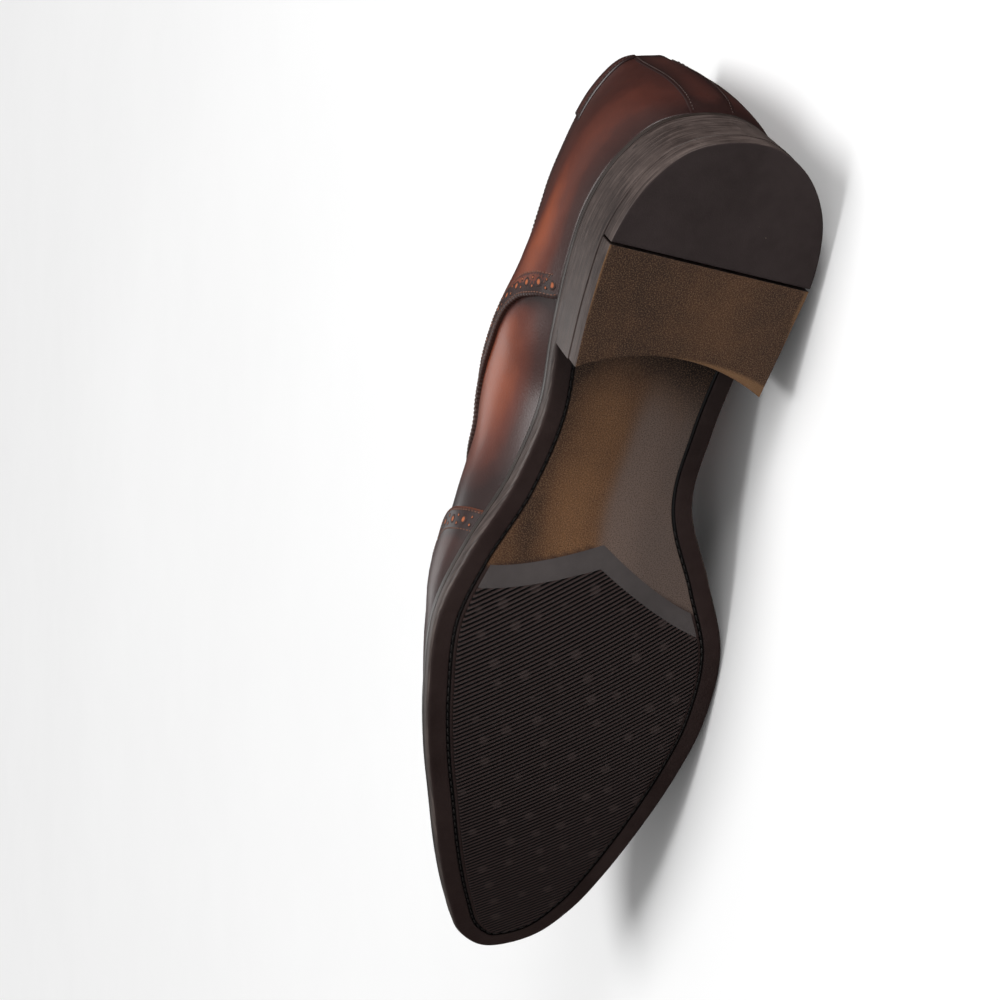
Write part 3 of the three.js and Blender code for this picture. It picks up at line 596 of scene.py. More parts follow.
def makeGrainGroup():
    # pebbles are cells a little apart, pores a finer noise between them; Height goes to a Bump
    inputs = [("Vector", "Vector", None), ("Scale", "Float", 900.0), ("Pores", "Float", 0.4)]
    group, given, out = newGroup("leatherGrain", inputs, [("Height", "Float")])
    cells = addNode(group, "ShaderNodeTexVoronoi", {"Vector": given["Vector"], "Scale": given["Scale"]},
                    feature="SMOOTH_F1")
    finer = calculate(group, "MULTIPLY", given["Scale"], 2.6)
    pores = addNode(group, "ShaderNodeTexNoise", {"Vector": given["Vector"], "Scale": finer, "Detail": 3.0})
    holes = calculate(group, "MULTIPLY", pores.outputs[0], given["Pores"])
    total = calculate(group, "ADD", cells.outputs["Distance"], holes)
    group.links.new(total, out["Height"])
    return group


def makeMottleGroup():
    # slow cloudiness, plus a finer one at a third of its strength, both round zero
    group, given, out = newGroup("mottle", [("Vector", "Vector", None), ("Scale", "Float", 30.0)],
                                 [("Clouds", "Float")])
    slow = addNode(group, "ShaderNodeTexNoise", {
        "Vector": given["Vector"], "Scale": given["Scale"], "Detail": 5.0, "Roughness": 0.6})
    finer = calculate(group, "MULTIPLY", given["Scale"], 7.0)
    quick = addNode(group, "ShaderNodeTexNoise", {"Vector": given["Vector"], "Scale": finer, "Detail": 4.0})
    total = calculate(group, "MULTIPLY_ADD", quick.outputs[0], 0.33, slow.outputs[0])
    group.links.new(calculate(group, "SUBTRACT", total, 0.665), out["Clouds"])
    return group


def makeSpeckGroup():
    # a spot where the distance to a random cell's middle is under Size and the cell's own number is under
    # Share
    inputs = [("Vector", "Vector", None), ("Scale", "Float", 600.0), ("Size", "Float", 0.2),
              ("Share", "Float", 0.3)]
    group, given, out = newGroup("specks", inputs, [("Mask", "Float")])
    cells = addNode(group, "ShaderNodeTexVoronoi", {"Vector": given["Vector"], "Scale": given["Scale"]})
    near = calculate(group, "LESS_THAN", cells.outputs["Distance"], given["Size"])
    number = addNode(group, "ShaderNodeSeparateColor", {0: cells.outputs["Color"]})
    chosen = calculate(group, "LESS_THAN", number.outputs[0], given["Share"])
    group.links.new(calculate(group, "MULTIPLY", near, chosen), out["Mask"])
    return group


def makeBrushGroup():
    # fine lines along a direction: noise on a vector that the material has stretched
    group, given, out = newGroup("brushedLines", [("Vector", "Vector", None), ("Scale", "Float", 1.0)],
                                 [("Lines", "Float")])
    noise = addNode(group, "ShaderNodeTexNoise", {
        "Vector": given["Vector"], "Scale": given["Scale"], "Detail": 4.0, "Roughness": 0.65})
    group.links.new(noise.outputs[0], out["Lines"])
    return group


groups = {"grain": makeGrainGroup(), "mottle": makeMottleGroup(), "specks": makeSpeckGroup(),
          "brush": makeBrushGroup()}


def useGroup(tree, name, values):
    # a copy of a shared group in a material, and its one output
    return addNode(tree, "ShaderNodeGroup", values, node_tree=groups[name]).outputs[0]


def startMaterial(name, look):
    # a Principled surface with the roughness, sheen and coat that the look names
    material = bpy.data.materials.new(name)
    material.use_nodes = True
    tree = material.node_tree
    shader = tree.nodes["Principled BSDF"]
    for name, key, usual in (("Roughness", "roughness", 0.5), ("Specular IOR Level", "specular", 0.5),
                             ("Coat Weight", "coat", 0.0), ("Coat Roughness", "coatRoughness", 0.2)):
        shader.inputs[name].default_value = look.get(key, usual)
    return material, tree, shader


def cloudyColor(tree, place, scale, stops):
    # a ramp of colours, run through by the mottle's clouds
    clouds = useGroup(tree, "mottle", {"Vector": place, "Scale": scale})
    return colorRamp(tree, calculate(tree, "ADD", clouds, 0.5, clamp=True), stops)


def addBump(tree, shader, height, strength, distance):
    # a height of 0 to 1, over a distance, tips the surface's normal
    bump = addNode(tree, "ShaderNodeBump", {"Height": height, "Strength": strength, "Distance": distance})
    tree.links.new(bump.outputs[0], shader.inputs["Normal"])


def objectPlace(tree):
    # the place in metres, so that the grain has one size on every piece
    return addNode(tree, "ShaderNodeTexCoord").outputs["Object"]


def mapped(tree, vector, scale, turn=0.0):
    # a place stretched by a scale and turned about z
    values = {"Vector": vector, "Scale": scale, "Rotation": (0, 0, turn)}
    return addNode(tree, "ShaderNodeMapping", values).outputs[0]


# Materials

def upperLeather(name, look):
    # tone runs from dark burnish to bare tan and carries the panels' painted highlights; clouds and the
    # nearness of a seam or border shift it, with painted shade beside the overlays' proud edges, and a cut
    # edge shows the tan of the hide
    material, tree, shader = startMaterial(name, look)
    place = objectPlace(tree)
    clouds = useGroup(tree, "mottle", {"Vector": place, "Scale": look["clouds"]})
    tone = calculate(tree, "MULTIPLY_ADD", clouds, look["cloudiness"], attribute(tree, "tone"))
    rim = calculate(tree, "MULTIPLY", attribute(tree, "rim"), look["rimDark"])
    color = colorRamp(tree, calculate(tree, "SUBTRACT", tone, rim, clamp=True), look["stops"])
    color = blendColors(tree, attribute(tree, "cut"), color, (*look["cut"], 1))
    tree.links.new(color, shader.inputs["Base Color"])
    rough = fade(tree, clouds, -0.3, 0.3, look["roughness"] - 0.05, look["roughness"] + 0.07)
    tree.links.new(rough, shader.inputs["Roughness"])
    grain = useGroup(tree, "grain", {"Vector": place, "Scale": look["grain"], "Pores": 0.5})
    addBump(tree, shader, grain, look["grainDepth"], 0.00012)
    return material


patina = [(0.0, (0.016, 0.0052, 0.0044)), (0.25, (0.038, 0.0105, 0.0075)), (0.5, (0.100, 0.021, 0.0100)),
          (0.75, (0.250, 0.054, 0.017)), (1.0, (0.420, 0.120, 0.038))]
upperLook = {
    "stops": patina, "clouds": 28.0, "cloudiness": 0.26, "rimDark": 0.60, "cut": (0.13, 0.038, 0.018),
    "roughness": 0.38, "specular": 0.30, "coat": 0.16, "coatRoughness": 0.22, "grain": 1500.0,
    "grainDepth": 0.26}
calf = upperLeather("burnishedCalf", upperLook)


def edgeMaterial(name, look):
    # stained and waxed edge: fine lines follow the edge, laid out by the lengths run and rise; where tick
    # is 1 it is wheeled into short upright marks a tick's width apart
    material, tree, shader = startMaterial(name, look)
    run, rise = attribute(tree, "run"), attribute(tree, "rise")
    place = addNode(tree, "ShaderNodeCombineXYZ", {0: run, 1: rise}).outputs[0]
    stretched = mapped(tree, place, (look["lineRun"], look["lineRise"], 1))
    lines = useGroup(tree, "brush", {"Vector": stretched, "Scale": 1.0})
    clouds = useGroup(tree, "mottle", {"Vector": objectPlace(tree), "Scale": 40.0})
    factor = calculate(tree, "MULTIPLY_ADD", clouds, 0.45, lines, clamp=True)
    color = colorRamp(tree, factor, look["stops"])
    wave = calculate(tree, "PINGPONG", calculate(tree, "MULTIPLY", run, 1 / look["tick"]), 0.5)
    marks = calculate(tree, "MULTIPLY", fade(tree, wave, 0.1, 0.3, 1.0, 0.0), attribute(tree, "tick"))
    color = blendColors(tree, calculate(tree, "MULTIPLY", marks, 0.7), color, (0.008, 0.005, 0.004, 1))
    nicks = useGroup(tree, "specks", {
        "Vector": mapped(tree, place, (0.35, 1, 1)), "Scale": 420.0, "Size": 0.16, "Share": 0.05})
    color = blendColors(tree, calculate(tree, "MULTIPLY", nicks, 0.6), color, (0.006, 0.004, 0.004, 1))
    tree.links.new(color, shader.inputs["Base Color"])
    tree.links.new(fade(tree, lines, 0.3, 0.7, look["roughness"] - 0.05, look["roughness"] + 0.12),
                   shader.inputs["Roughness"])
    addBump(tree, shader, calculate(tree, "SUBTRACT", lines, marks), look["depth"], 0.00015)
    return material


heelEdge = edgeMaterial("stackedHeelEdge", {
    "stops": [(0.36, (0.020, 0.0135, 0.0120)), (0.50, (0.047, 0.0335, 0.0295)),
              (0.64, (0.080, 0.060, 0.053))],
    "lineRun": 60.0, "lineRise": 1800.0, "tick": 0.0009, "roughness": 0.42, "coat": 0.06, "specular": 0.24,
    "depth": 0.5})
weltEdge = edgeMaterial("waxedWelt", {
    "stops": [(0.28, (0.010, 0.007, 0.006)), (0.55, (0.024, 0.017, 0.014)), (0.8, (0.060, 0.043, 0.035))],
    "lineRun": 80.0, "lineRise": 1800.0, "tick": 0.0009, "roughness": 0.36, "coat": 0.18, "specular": 0.35,
    "depth": 0.3})


def soleMaterial(look):
    # waist: golden on the lateral side, with a painted grey sheen towards the medial, darker near the heel;
    # margin: dark outside the groove
    material, tree, shader = startMaterial("stainedSoleLeather", look)
    flat = addNode(tree, "ShaderNodeUVMap", uv_map="UVMap").outputs[0]
    clouds = useGroup(tree, "mottle", {"Vector": flat, "Scale": 34.0})
    warm = attribute(tree, "warm")
    tone = calculate(tree, "MULTIPLY_ADD", clouds, 0.55, warm, clamp=True)
    waist = colorRamp(tree, tone, look["waist"])
    # painted sheen: the medial mask blends the waist towards a grey sheen
    sheen = fade(tree, attribute(tree, "medial"), 0.0, 1.0, 0.0, 0.75)
    waist = blendColors(tree, sheen, waist, (*look["paintedSheenGrey"], 1))
    fibres = addNode(tree, "ShaderNodeTexNoise", {
        "Vector": flat, "Scale": look["fibre"], "Detail": 2.0}).outputs[0]
    pale = fade(tree, fibres, 0.50, 0.66, 0.0, look["paleness"])
    pale = calculate(tree, "MULTIPLY", pale, fade(tree, attribute(tree, "medial"), 0.2, 0.8, 1.0, 0.3))
    waist = blendColors(tree, pale, waist, (*look["speck"], 1))
    dark = fade(tree, fibres, 0.50, 0.36, 0.0, 0.5)
    waist = blendColors(tree, dark, waist, (0.010, 0.005, 0.003, 1))
    margin = colorRamp(tree, calculate(tree, "ADD", clouds, 0.5, clamp=True), look["margin"])
    color = blendColors(tree, attribute(tree, "margin"), waist, margin)
    color = blendColors(tree, attribute(tree, "worn"), color, (*look["worn"], 1))
    # painted shade: the channel's groove is coloured near black
    color = blendColors(tree, attribute(tree, "groove"), color, (0.004, 0.003, 0.003, 1))
    tree.links.new(color, shader.inputs["Base Color"])
    rough = fade(tree, attribute(tree, "margin"), 0.0, 1.0, look["roughness"], look["roughness"] - 0.08)
    tree.links.new(rough, shader.inputs["Roughness"])
    grain = useGroup(tree, "grain", {"Vector": flat, "Scale": 1300.0, "Pores": 0.8})
    addBump(tree, shader, grain, 0.3, 0.00012)
    return material


soleLeather = soleMaterial({
    "waist": [(0.0, (0.012, 0.006, 0.004)), (0.35, (0.036, 0.017, 0.009)), (0.65, (0.095, 0.042, 0.017)),
              (1.0, (0.165, 0.075, 0.028))],
    "paintedSheenGrey": (0.140, 0.104, 0.089), "speck": (0.28, 0.165, 0.096), "fibre": 2700.0, "paleness": 0.38,
    "margin": [(0.2, (0.017, 0.0085, 0.0076)), (0.8, (0.032, 0.019, 0.0170))], "worn": (0.24, 0.125, 0.055),
    "roughness": 0.46, "coat": 0.03, "coatRoughness": 0.35, "specular": 0.22})


def rubberMaterial(name, look, ridges=None):
    # cloudy dark rubber with pale specks; the forepart's has slanting ridges, drawn by bump alone, with
    # painted shade between them and their tops worn and painted lighter as a highlight
    material, tree, shader = startMaterial(name, look)
    flat = addNode(tree, "ShaderNodeUVMap", uv_map="UVMap").outputs[0]
    color = cloudyColor(tree, flat, 30.0, look["stops"])
    pale = useGroup(tree, "specks", {"Vector": flat, "Scale": 330.0, "Size": look["speckSize"],
                                     "Share": look["specks"]})
    color = blendColors(tree, calculate(tree, "MULTIPLY", pale, 0.6), color, (*look["speck"], 1))
    grain = useGroup(tree, "grain", {"Vector": flat, "Scale": 2200.0, "Pores": 1.0})
    if ridges is None:
        tree.links.new(color, shader.inputs["Base Color"])
        addBump(tree, shader, grain, 0.25, 0.0001)
        return material
    # ridges: distance across them over the pitch, folded into a wave with flat crests, past the smooth band
    # alone
    parts = addNode(tree, "ShaderNodeSeparateXYZ", {0: flat}).outputs
    angle = math.radians(ridges["angle"])
    across = calculate(tree, "ADD", calculate(tree, "MULTIPLY", parts[0], math.sin(angle) / ridges["pitch"]),
                       calculate(tree, "MULTIPLY", parts[1], -math.cos(angle) / ridges["pitch"]))
    squared = calculate(tree, "MULTIPLY", parts[1], parts[1])
    bowed = calculate(tree, "MULTIPLY", squared, ridges["bow"] / ridges["pitch"])
    across = calculate(tree, "ADD", across, bowed)
    wave = calculate(tree, "MULTIPLY", calculate(tree, "PINGPONG", across, 0.5), 2.0)
    crest = fade(tree, wave, 0.34, 0.60)
    field = fade(tree, attribute(tree, "fromStart"), ridges["band"] - 0.0001, ridges["band"] + 0.0001)
    knobs = addNode(tree, "ShaderNodeTexVoronoi", {
        "Vector": mapped(tree, flat, (1, 1, 0), 0.5), "Scale": 105.0, "Randomness": 0.25})
    flattened = fade(tree, knobs.outputs["Distance"], 0.24, 0.12, 0.0, 0.32)
    flattened = calculate(tree, "MULTIPLY", flattened, field)
    # painted shade: the grooves between the ridges are coloured near black
    groove = calculate(tree, "MULTIPLY", field, calculate(tree, "SUBTRACT", 1.0, crest))
    color = blendColors(tree, field, color, (*ridges["crest"], 1))
    color = blendColors(tree, groove, color, (*ridges["groove"], 1))
    # the crests' tops are lightened: wear, and a painted highlight along them
    worn = calculate(tree, "MULTIPLY", field, fade(tree, wave, 0.75, 1.0, 0.0, 0.5))
    color = blendColors(tree, calculate(tree, "MAXIMUM", worn, flattened), color, (*ridges["worn"], 1))
    tree.links.new(color, shader.inputs["Base Color"])
    deep = calculate(tree, "MULTIPLY", groove, -1.0)
    addBump(tree, shader, calculate(tree, "ADD", deep, calculate(tree, "MULTIPLY", grain, 0.05)), 0.9, 0.0005)
    return material


ridgedRubber = rubberMaterial("ridgedRubber", {
    "stops": [(0.2, (0.050, 0.042, 0.041)), (0.8, (0.078, 0.066, 0.064))], "speck": (0.10, 0.06, 0.045),
    "specks": 0.01, "speckSize": 0.06, "roughness": 0.52, "specular": 0.22}, {
    "angle": 53.5, "pitch": 0.00143, "bow": 1.0, "band": 0.0077, "groove": (0.0008, 0.0006, 0.0006),
    "crest": (0.034, 0.0195, 0.0178), "worn": (0.066, 0.044, 0.040)})
heelRubber = rubberMaterial("heelRubber", {
    "stops": [(0.2, (0.022, 0.0145, 0.0140)), (0.8, (0.040, 0.0280, 0.0275))], "speck": (0.20, 0.15, 0.12),
    "specks": 0.12, "speckSize": 0.05, "roughness": 0.66, "specular": 0.18})


def plainMaterial(name, look):
    # one colour broken by clouds and a fine grain
    material, tree, shader = startMaterial(name, look)
    place = objectPlace(tree)
    color = cloudyColor(tree, place, look["clouds"], look["stops"])
    tree.links.new(color, shader.inputs["Base Color"])
    grain = useGroup(tree, "grain", {"Vector": place, "Scale": look["grain"], "Pores": 0.7})
    addBump(tree, shader, grain, look["depth"], 0.00015)
    return material


liningLeather = plainMaterial("liningLeather", {
    "stops": [(0.2, (0.22, 0.11, 0.05)), (0.8, (0.36, 0.20, 0.10))], "clouds": 50.0, "grain": 900.0,
    "depth": 0.3, "roughness": 0.55})
threadBlack, threadBrown, threadDark = [
    plainMaterial(name, {"stops": [(0.2, dark), (0.8, light)], "clouds": 300.0, "grain": 5000.0, "depth": 0.5,
                         "roughness": roughness})
    for name, dark, light, roughness in (
        ("waxedThread", (0.006, 0.005, 0.005), (0.020, 0.015, 0.013), 0.5),
        ("brownThread", (0.060, 0.024, 0.014), (0.190, 0.070, 0.036), 0.5),
        ("darkThread", (0.014, 0.007, 0.006), (0.050, 0.022, 0.016), 0.45))]
laceCotton = plainMaterial("waxedLace", {
    "stops": [(0.2, (0.012, 0.008, 0.007)), (0.8, (0.035, 0.022, 0.018))], "clouds": 200.0, "grain": 2600.0,
    "depth": 0.8, "roughness": 0.55})


def holeMaterial():
    # the floor shows tan lining through the hole; the ring round it is dark, painted shade of the hole's
    # wall on a flat disc
    material, tree, shader = startMaterial("punchedHole", {"roughness": 0.55, "specular": 0.3})
    stops = [(0.0, (0.40, 0.110, 0.034)), (0.10, (0.27, 0.070, 0.023)), (0.15, (0.008, 0.003, 0.0025)),
             (0.9, (0.018, 0.007, 0.005)), (1.0, (0.026, 0.010, 0.007))]
    tree.links.new(colorRamp(tree, attribute(tree, "tone"), stops), shader.inputs["Base Color"])
    return material


punched = holeMaterial()
print("materials made")


# Sole

sole = {"rim": 0.0064, "channel": 0.0013, "channelDepth": 0.0011, "rows": 420, "middle": 16,
        "thread": 0.0031}
insert = {"waist": 0.150, "peak": 0.011, "slant": 0.008, "proud": 0.0006, "skive": 0.0075, "inset": 0.0087,
          "below": 0.0011}


def insertStart(across):
    # where the rubber begins: slanted back on the medial side, with a peak in the middle of the sole
    return (insert["waist"] + insert["slant"] * np.maximum(0, -across)
            - insert["peak"] * (1 - np.abs(across)) ** 1.5)


def onUnderside(at, above):
    # places of a plan, a height above the sole's underside
    return stack(at["x"], at["y"], undersideHeight(at["x"]) + above)


def evenShares(count):
    # stations a little closer together at heel and toe
    t = np.linspace(0, 1, count)
    return 0.5 - 0.5 * np.cos(np.pi * t) * (1 - 0.28 * np.sin(np.pi * t))


def runAround(points):
    # length round a shoe-like outline, near enough: turned angle at heel and toe, plain length between
    x, y = points[..., 0], points[..., 1]
    radius, quarterTurn = 0.036, 0.0566
    heelTurn = np.arctan2(np.abs(y), np.maximum(radius - x, 1e-6)) * radius
    return np.where(x < radius, heelTurn, quarterTurn + x - radius) * np.where(y < 0, -1, 1)


def makeOutsole():
    # section of one side as inset, height and share of groove: middle, round the groove, margin, bevel,
    # edge, top
    rim, width, deep, thick = sole["rim"], sole["channel"], sole["channelDepth"], shoe["outsole"]
    inner = rim + width
    section = [(inner + 0.0012, 0, 0), (inner + 0.0003, 0, 0), (inner, 0.0001, 0.5),
               (inner - 0.0001, deep * 0.8, 1), (rim + width / 2, deep, 1), (rim + 0.0001, deep * 0.8, 1),
               (rim, 0.0001, 0.5), (rim - 0.0003, 0, 0), (rim - 0.0010, 0, 0), (0.0040, 0, 0), (0.0026, 0, 0),
               (0.0016, 0, 0), (0.0010, 0.00006, 0), (0.0006, 0.00025, 0), (0.0003, 0.00058, 0),
               (0.0001, 0.001, 0), (0, 0.0015, 0), (0, thick / 2, 0), (0, thick - 0.0004, 0),
               (0.0002, thick - 0.0001, 0), (0.0008, thick, 0)]
    s = evenShares(sole["rows"])[:, None]
    inset, height, groove = [np.array(column)[None, :] for column in zip(*section)]
    bevel = (inset < 0.0017) & (height < 0.0016)
    sides = {}
    for side in (1, -1):
        flush = 1 - 0.93 * (1 - ramp(outlineAt(side, s)["x"], 0.074, 0.082)) * bevel
        sides[side] = onUnderside(insetAt(side, s, inset * flush), height * flush)
    lateral, medial = sides[1], sides[-1]
    share = np.linspace(0, 1, sole["middle"] + 2)[1:-1][None, :, None]
    across = medial[:, :1] * (1 - share) + lateral[:, :1] * share
    across[..., 2] = undersideHeight(across[..., 0])
    points = np.concatenate([medial[:, ::-1], across, lateral, medial[:, -1:]], axis=1)
    rows, columns = points.shape[:2]
    faces = outwardFaces(points.reshape(-1, 3), gridFaces(rows, columns))
    far = np.full((rows, sole["middle"]), 0.02)
    insets, grooves = [
        np.concatenate([np.broadcast_to(part[:, ::-1], (rows, part.size)), between,
                        np.broadcast_to(part, (rows, part.size)), np.zeros((rows, 1))], axis=1)
        for part, between in ((inset, far), (groove, far * 0))]
    x, y = points[..., 0] / shoe["length"], points[..., 1] / shoe["ballWidth"]
    lateralOut, medialOut = [readTable(outlineTable, "along", key, x) for key in ("lateral", "medial")]
    side = y - (lateralOut - medialOut) / 2
    past = ramp(points[..., 0] - insertStart(np.clip(side / 0.40, -1, 1)), 0.0, 0.002)
    masks = {
        "margin": np.maximum(past, 1 - ramp(insets, sole["rim"] + 0.0002, sole["rim"] + 0.0009)),
        "groove": grooves,
        # painted sheen: the medial mask lays a grey sheen over the waist's medial half
        "medial": (0.74 * ramp(-side, -0.03, 0.06) + 0.26 * hump(side, -0.07, 0.06)) * ramp(x, 0.24, 0.34),
        "warm": (0.62 + 0.25 * hump(side, 0.07, 0.10) - 0.55 * (1 - ramp(x, 0.23, 0.31))
                 - 0.25 * hump(side, 0.22, 0.05) - 0.30 * ramp(-side, 0.06, 0.22)),
    }
    masks["run"], masks["rise"] = runAround(points), points[..., 2]
    onEdge = (insets.ravel()[faces] < 0.0009).all(axis=1)
    return makePiece("outsoleLeather", points, faces, soleLeather, ["outsole"],
                     points[..., :2], masks, edges=(heelEdge, onEdge))


def stitchTemplate(length, width, height):
    # a low grain of rice: two ends in the leather and three rings between them
    angles = np.linspace(0, 2 * np.pi, 5, endpoint=False) + 0.3
    rings = [stack(place * length, np.cos(angles) * width * size, np.sin(angles) * height * size)
             for place, size in ((-0.36, 0.8), (0.0, 1.0), (0.36, 0.8))]
    points = np.concatenate([[[-length / 2, 0, -height]], *rings, [[length / 2, 0, -height]]])
    faces = []
    for k in range(5):
        n = (k + 1) % 5
        faces.append([0, 1 + n, 1 + k, 1 + k])
        faces += [[1 + 5 * r + k, 1 + 5 * r + n, 6 + 5 * r + n, 6 + 5 * r + k] for r in (0, 1)]
        faces.append([16, 11 + k, 11 + n, 11 + n])
    return points, np.array(faces)


def stitchPiece(name, template, runs, material, lean=0.0):
    # runs are lists of places with their three directions; lean turns each stitch in the surface
    made, numbers, count = [], [], 0
    for places, along, across, up in runs:
        way = along * math.cos(lean) + across * math.sin(lean)
        beside = across * math.cos(lean) - along * math.sin(lean)
        points, faces = placeMany(*template, places, way, beside, up)
        made.append(points)
        numbers.append(faces + count)
        count += len(points)
    points, faces = np.concatenate(made), np.concatenate(numbers)
    triangles = [[a, b, c] if c == d else [a, b, c, d] for a, b, c, d in faces.tolist()]
    mesh = bpy.data.meshes.new(name)
    mesh.from_pydata(layDown(points).tolist(), [], triangles)
    mesh.shade_smooth()
    mesh.materials.append(material)
    return joinRow(name, mesh)


def evenly(points, spacing):
    # where along a line of points the stitches fall, as fractions of its point numbers
    run = runAlong(points)
    count = max(2, int(run[-1] / spacing))
    return np.interp((np.arange(count) + 0.5) * run[-1] / count, run, np.arange(len(points)))


def soleRun(lineAt, side, start, end, way):
    # stitches between two shares of a side, facing up or down: the line is drawn, spaced, and drawn again
    # there
    s = np.linspace(start, end, 800)
    s = np.interp(evenly(lineAt(side, s), sole["thread"]), np.arange(len(s)), s)
    line = lineAt(side, s)
    up = np.broadcast_to([0.0, 0, way], line.shape)
    along = unit(np.gradient(line, axis=0))
    return line, along, unit(np.cross(up, along)), up


def channelLine(side, s):
    # middle of the channel, a little under its mouth
    return onUnderside(insetAt(side, s, sole["rim"] + sole["channel"] / 2), sole["channelDepth"] - 0.00035)


makeOutsole()
stitchPiece("channelStitches", stitchTemplate(0.0029, 0.00042, 0.0004),
            [soleRun(channelLine, 1, 0.30, 1.0, -1), soleRun(channelLine, -1, 0.42, 1.0, -1)], threadBlack)


def makeWelt():
    # ring between outsole and upper; its section is a rounded strip, wheeled into fine ticks on top
    low, high = shoe["outsole"] - 0.0001, soleThickness
    s = evenShares(520)
    sides = np.repeat([1.0, -1.0], len(s))
    shares = np.concatenate([s, s[::-1]])
    reach = reachAt(outlineAt(sides, shares)["x"]) + shoe["wall"]
    section = [(0.0, low), (0.0, (low + high) / 2), (0.0, high - 0.0004), (0.0002, high - 0.0001),
               (0.0006, high)]
    rings = [onUnderside(insetAt(sides, shares, inset), z) for inset, z in section]
    rings += [onUnderside(insetAt(sides, shares, reach), z) for z in (high, low)] + rings[:1]
    points = np.stack(rings, axis=1)
    faces = gridSkin(points)
    run = runAlong(points[:, 0])
    ticks = np.array([0, 0, 0.6, 1, 1, 0.3, 0, 0])
    masks = {"run": run[:, None] * np.ones(8), "rise": points[..., 2],
             "tick": ticks * np.ones((len(points), 1))}
    return makePiece("weltStrip", points, faces, weltEdge, ["welt"], None, masks)


def weltLine(side, s):
    # a little outside the middle of the welt that shows
    inset = reachAt(outlineAt(side, s)["x"]) * 0.46
    return onUnderside(insetAt(side, s, inset), soleThickness + 0.0001)


makeWelt()
stitchPiece("weltStitches", stitchTemplate(0.0028, 0.00045, 0.0003),
            [soleRun(weltLine, 1, 0.36, 1.0, 1), soleRun(weltLine, -1, 0.40, 1.0, 1)], threadBrown, lean=0.15)


def insertPlan(t, across):
    # between the two sides of the outline, pulled back at the waist end onto its pointed line
    starts = {}
    for side in (1, -1):
        shares = np.linspace(0.3, 0.7, 800)
        starts[side] = np.interp(insertStart(side), insetAt(side, shares, insert["inset"])["x"], shares)

    def straight(t, across):
        # share across, between the two sides' places at the same share t of the rubber's length
        lateral = insetAt(1, starts[1] + (1 - starts[1]) * t, insert["inset"])
        medial = insetAt(-1, starts[-1] + (1 - starts[-1]) * t, insert["inset"])
        share = (across + 1) / 2
        return [medial[k] + (lateral[k] - medial[k]) * share for k in ("x", "y")]

    x, y = straight(t, across)
    back = insertStart(across) - straight(t * 0, across)[0]
    return {"x": x + back * (1 - ramp(t, 0, 0.55)), "y": y}


def makeInsert():
    # the face rises from the waist end over the smooth band, and its border is rounded down all round
    t = np.concatenate([np.linspace(0, 0.12, 16), np.linspace(0.12, 1, 120)[1:]])[:, None]
    w = np.concatenate([[-1, -0.995], np.linspace(-0.985, 0.985, 71), [0.995, 1]])[None, :]
    plan = insertPlan(t * np.ones_like(w), w * np.ones_like(t))
    fromStart = plan["x"] - insertStart(w * np.ones_like(t))
    edge = np.minimum(1, (1 - np.abs(w)) / 0.015) * np.ones_like(t)
    proud = insert["proud"] * ramp(fromStart, 0, insert["skive"]) * (0.72 + 0.28 * edge) + 0.00003
    face = onUnderside(plan, -proud)
    points, faces = shellMesh(face, onUnderside(plan, insert["below"]))
    masks = {"fromStart": np.concatenate([fromStart.ravel()] * 2)}
    return makePiece("rubberForepart", points, faces, ridgedRubber, ["rubber_forepart"],
                     points[:, :2], masks)


makeInsert()


# Heel

heel = {"length": 0.078, "hollow": 0.008, "taper": 0.0003, "topPiece": 0.0065, "rubberShare": 0.504,
        "slant": 0.0015, "breastFold": 2.5}


def heelPlan(start, end, inset):
    # rows across the heel between two places, hollowed towards the breast
    low, high = max(start, 1e-4 + inset), end - inset
    t = np.linspace(0, 1, 60)
    x = low + (high - low) * (1 - np.cos(t * np.pi / 2)) if start == 0 else low + (high - low) * t
    w = np.concatenate([[-1, -0.985, -0.96], np.linspace(-0.92, 0.92, 23), [0.96, 0.985, 1]])
    shares = np.linspace(0, 0.5, 3000)
    edge = {side: insetAt(side, shares, inset) for side in (1, -1)}
    turn = heel["slant"] * ((end - x) / (end - start) if start > 0 else x / end)
    turn = turn * (start > 0 or end < heel["length"])
    y = {side: np.interp(x - side * turn, edge[side]["x"], edge[side]["y"]) for side in (1, -1)}
    hollow = x * 0
    if end == heel["length"]:
        hollow = heel["hollow"] * ramp(x, end - heel["breastFold"] * heel["hollow"], end)
    return (x[:, None] - turn[:, None] * w[None] - hollow[:, None] * (1 - w[None] ** 2),
            y[-1][:, None] + (y[1] - y[-1])[:, None] * (w[None] + 1) / 2)


def borderOf(rows, columns):
    # the numbers of a grid's border points, once round and back to the first
    number = np.arange(rows * columns).reshape(rows, columns)
    return np.concatenate([number[0, :-1], number[:-1, -1], number[-1, :0:-1], number[::-1, 0]])


def heelPiece(name, start, end, levels, material, nodes, taper, masksFor=None):
    # caps at the first and last level, and between the levels strips round the border; a level is an inset
    # and a height, the height worked out from x
    grids = [heelPlan(start, end, taper + inset) for inset, _ in levels]
    rows, columns = grids[0][0].shape
    points = [stack(x, y, height(x)).reshape(-1, 3) for (x, y), (_, height) in zip(grids, levels)]
    ring, size = borderOf(rows, columns), rows * columns
    faces = [gridFaces(rows, columns), gridFaces(rows, columns, size * (len(levels) - 1))[:, ::-1]]
    faces += [stripFaces(ring + size * k, ring + size * (k + 1)) for k in range(len(levels) - 1)]
    points, faces = np.concatenate(points), np.concatenate(faces)
    used = np.unique(faces)
    renumber = np.zeros(len(points), int)
    renumber[used] = np.arange(len(used))
    points, faces = points[used], renumber[faces]
    masks = {**(masksFor(points) if masksFor else {}), "run": runAround(points), "rise": points[:, 2]}
    onEdge = np.arange(len(faces)) >= 2 * (rows - 1) * (columns - 1) + len(ring) - 1
    return makePiece(name, points, outwardFaces(points, faces), material, nodes, points[:, :2],
                     masks, edges=(heelEdge, onEdge))


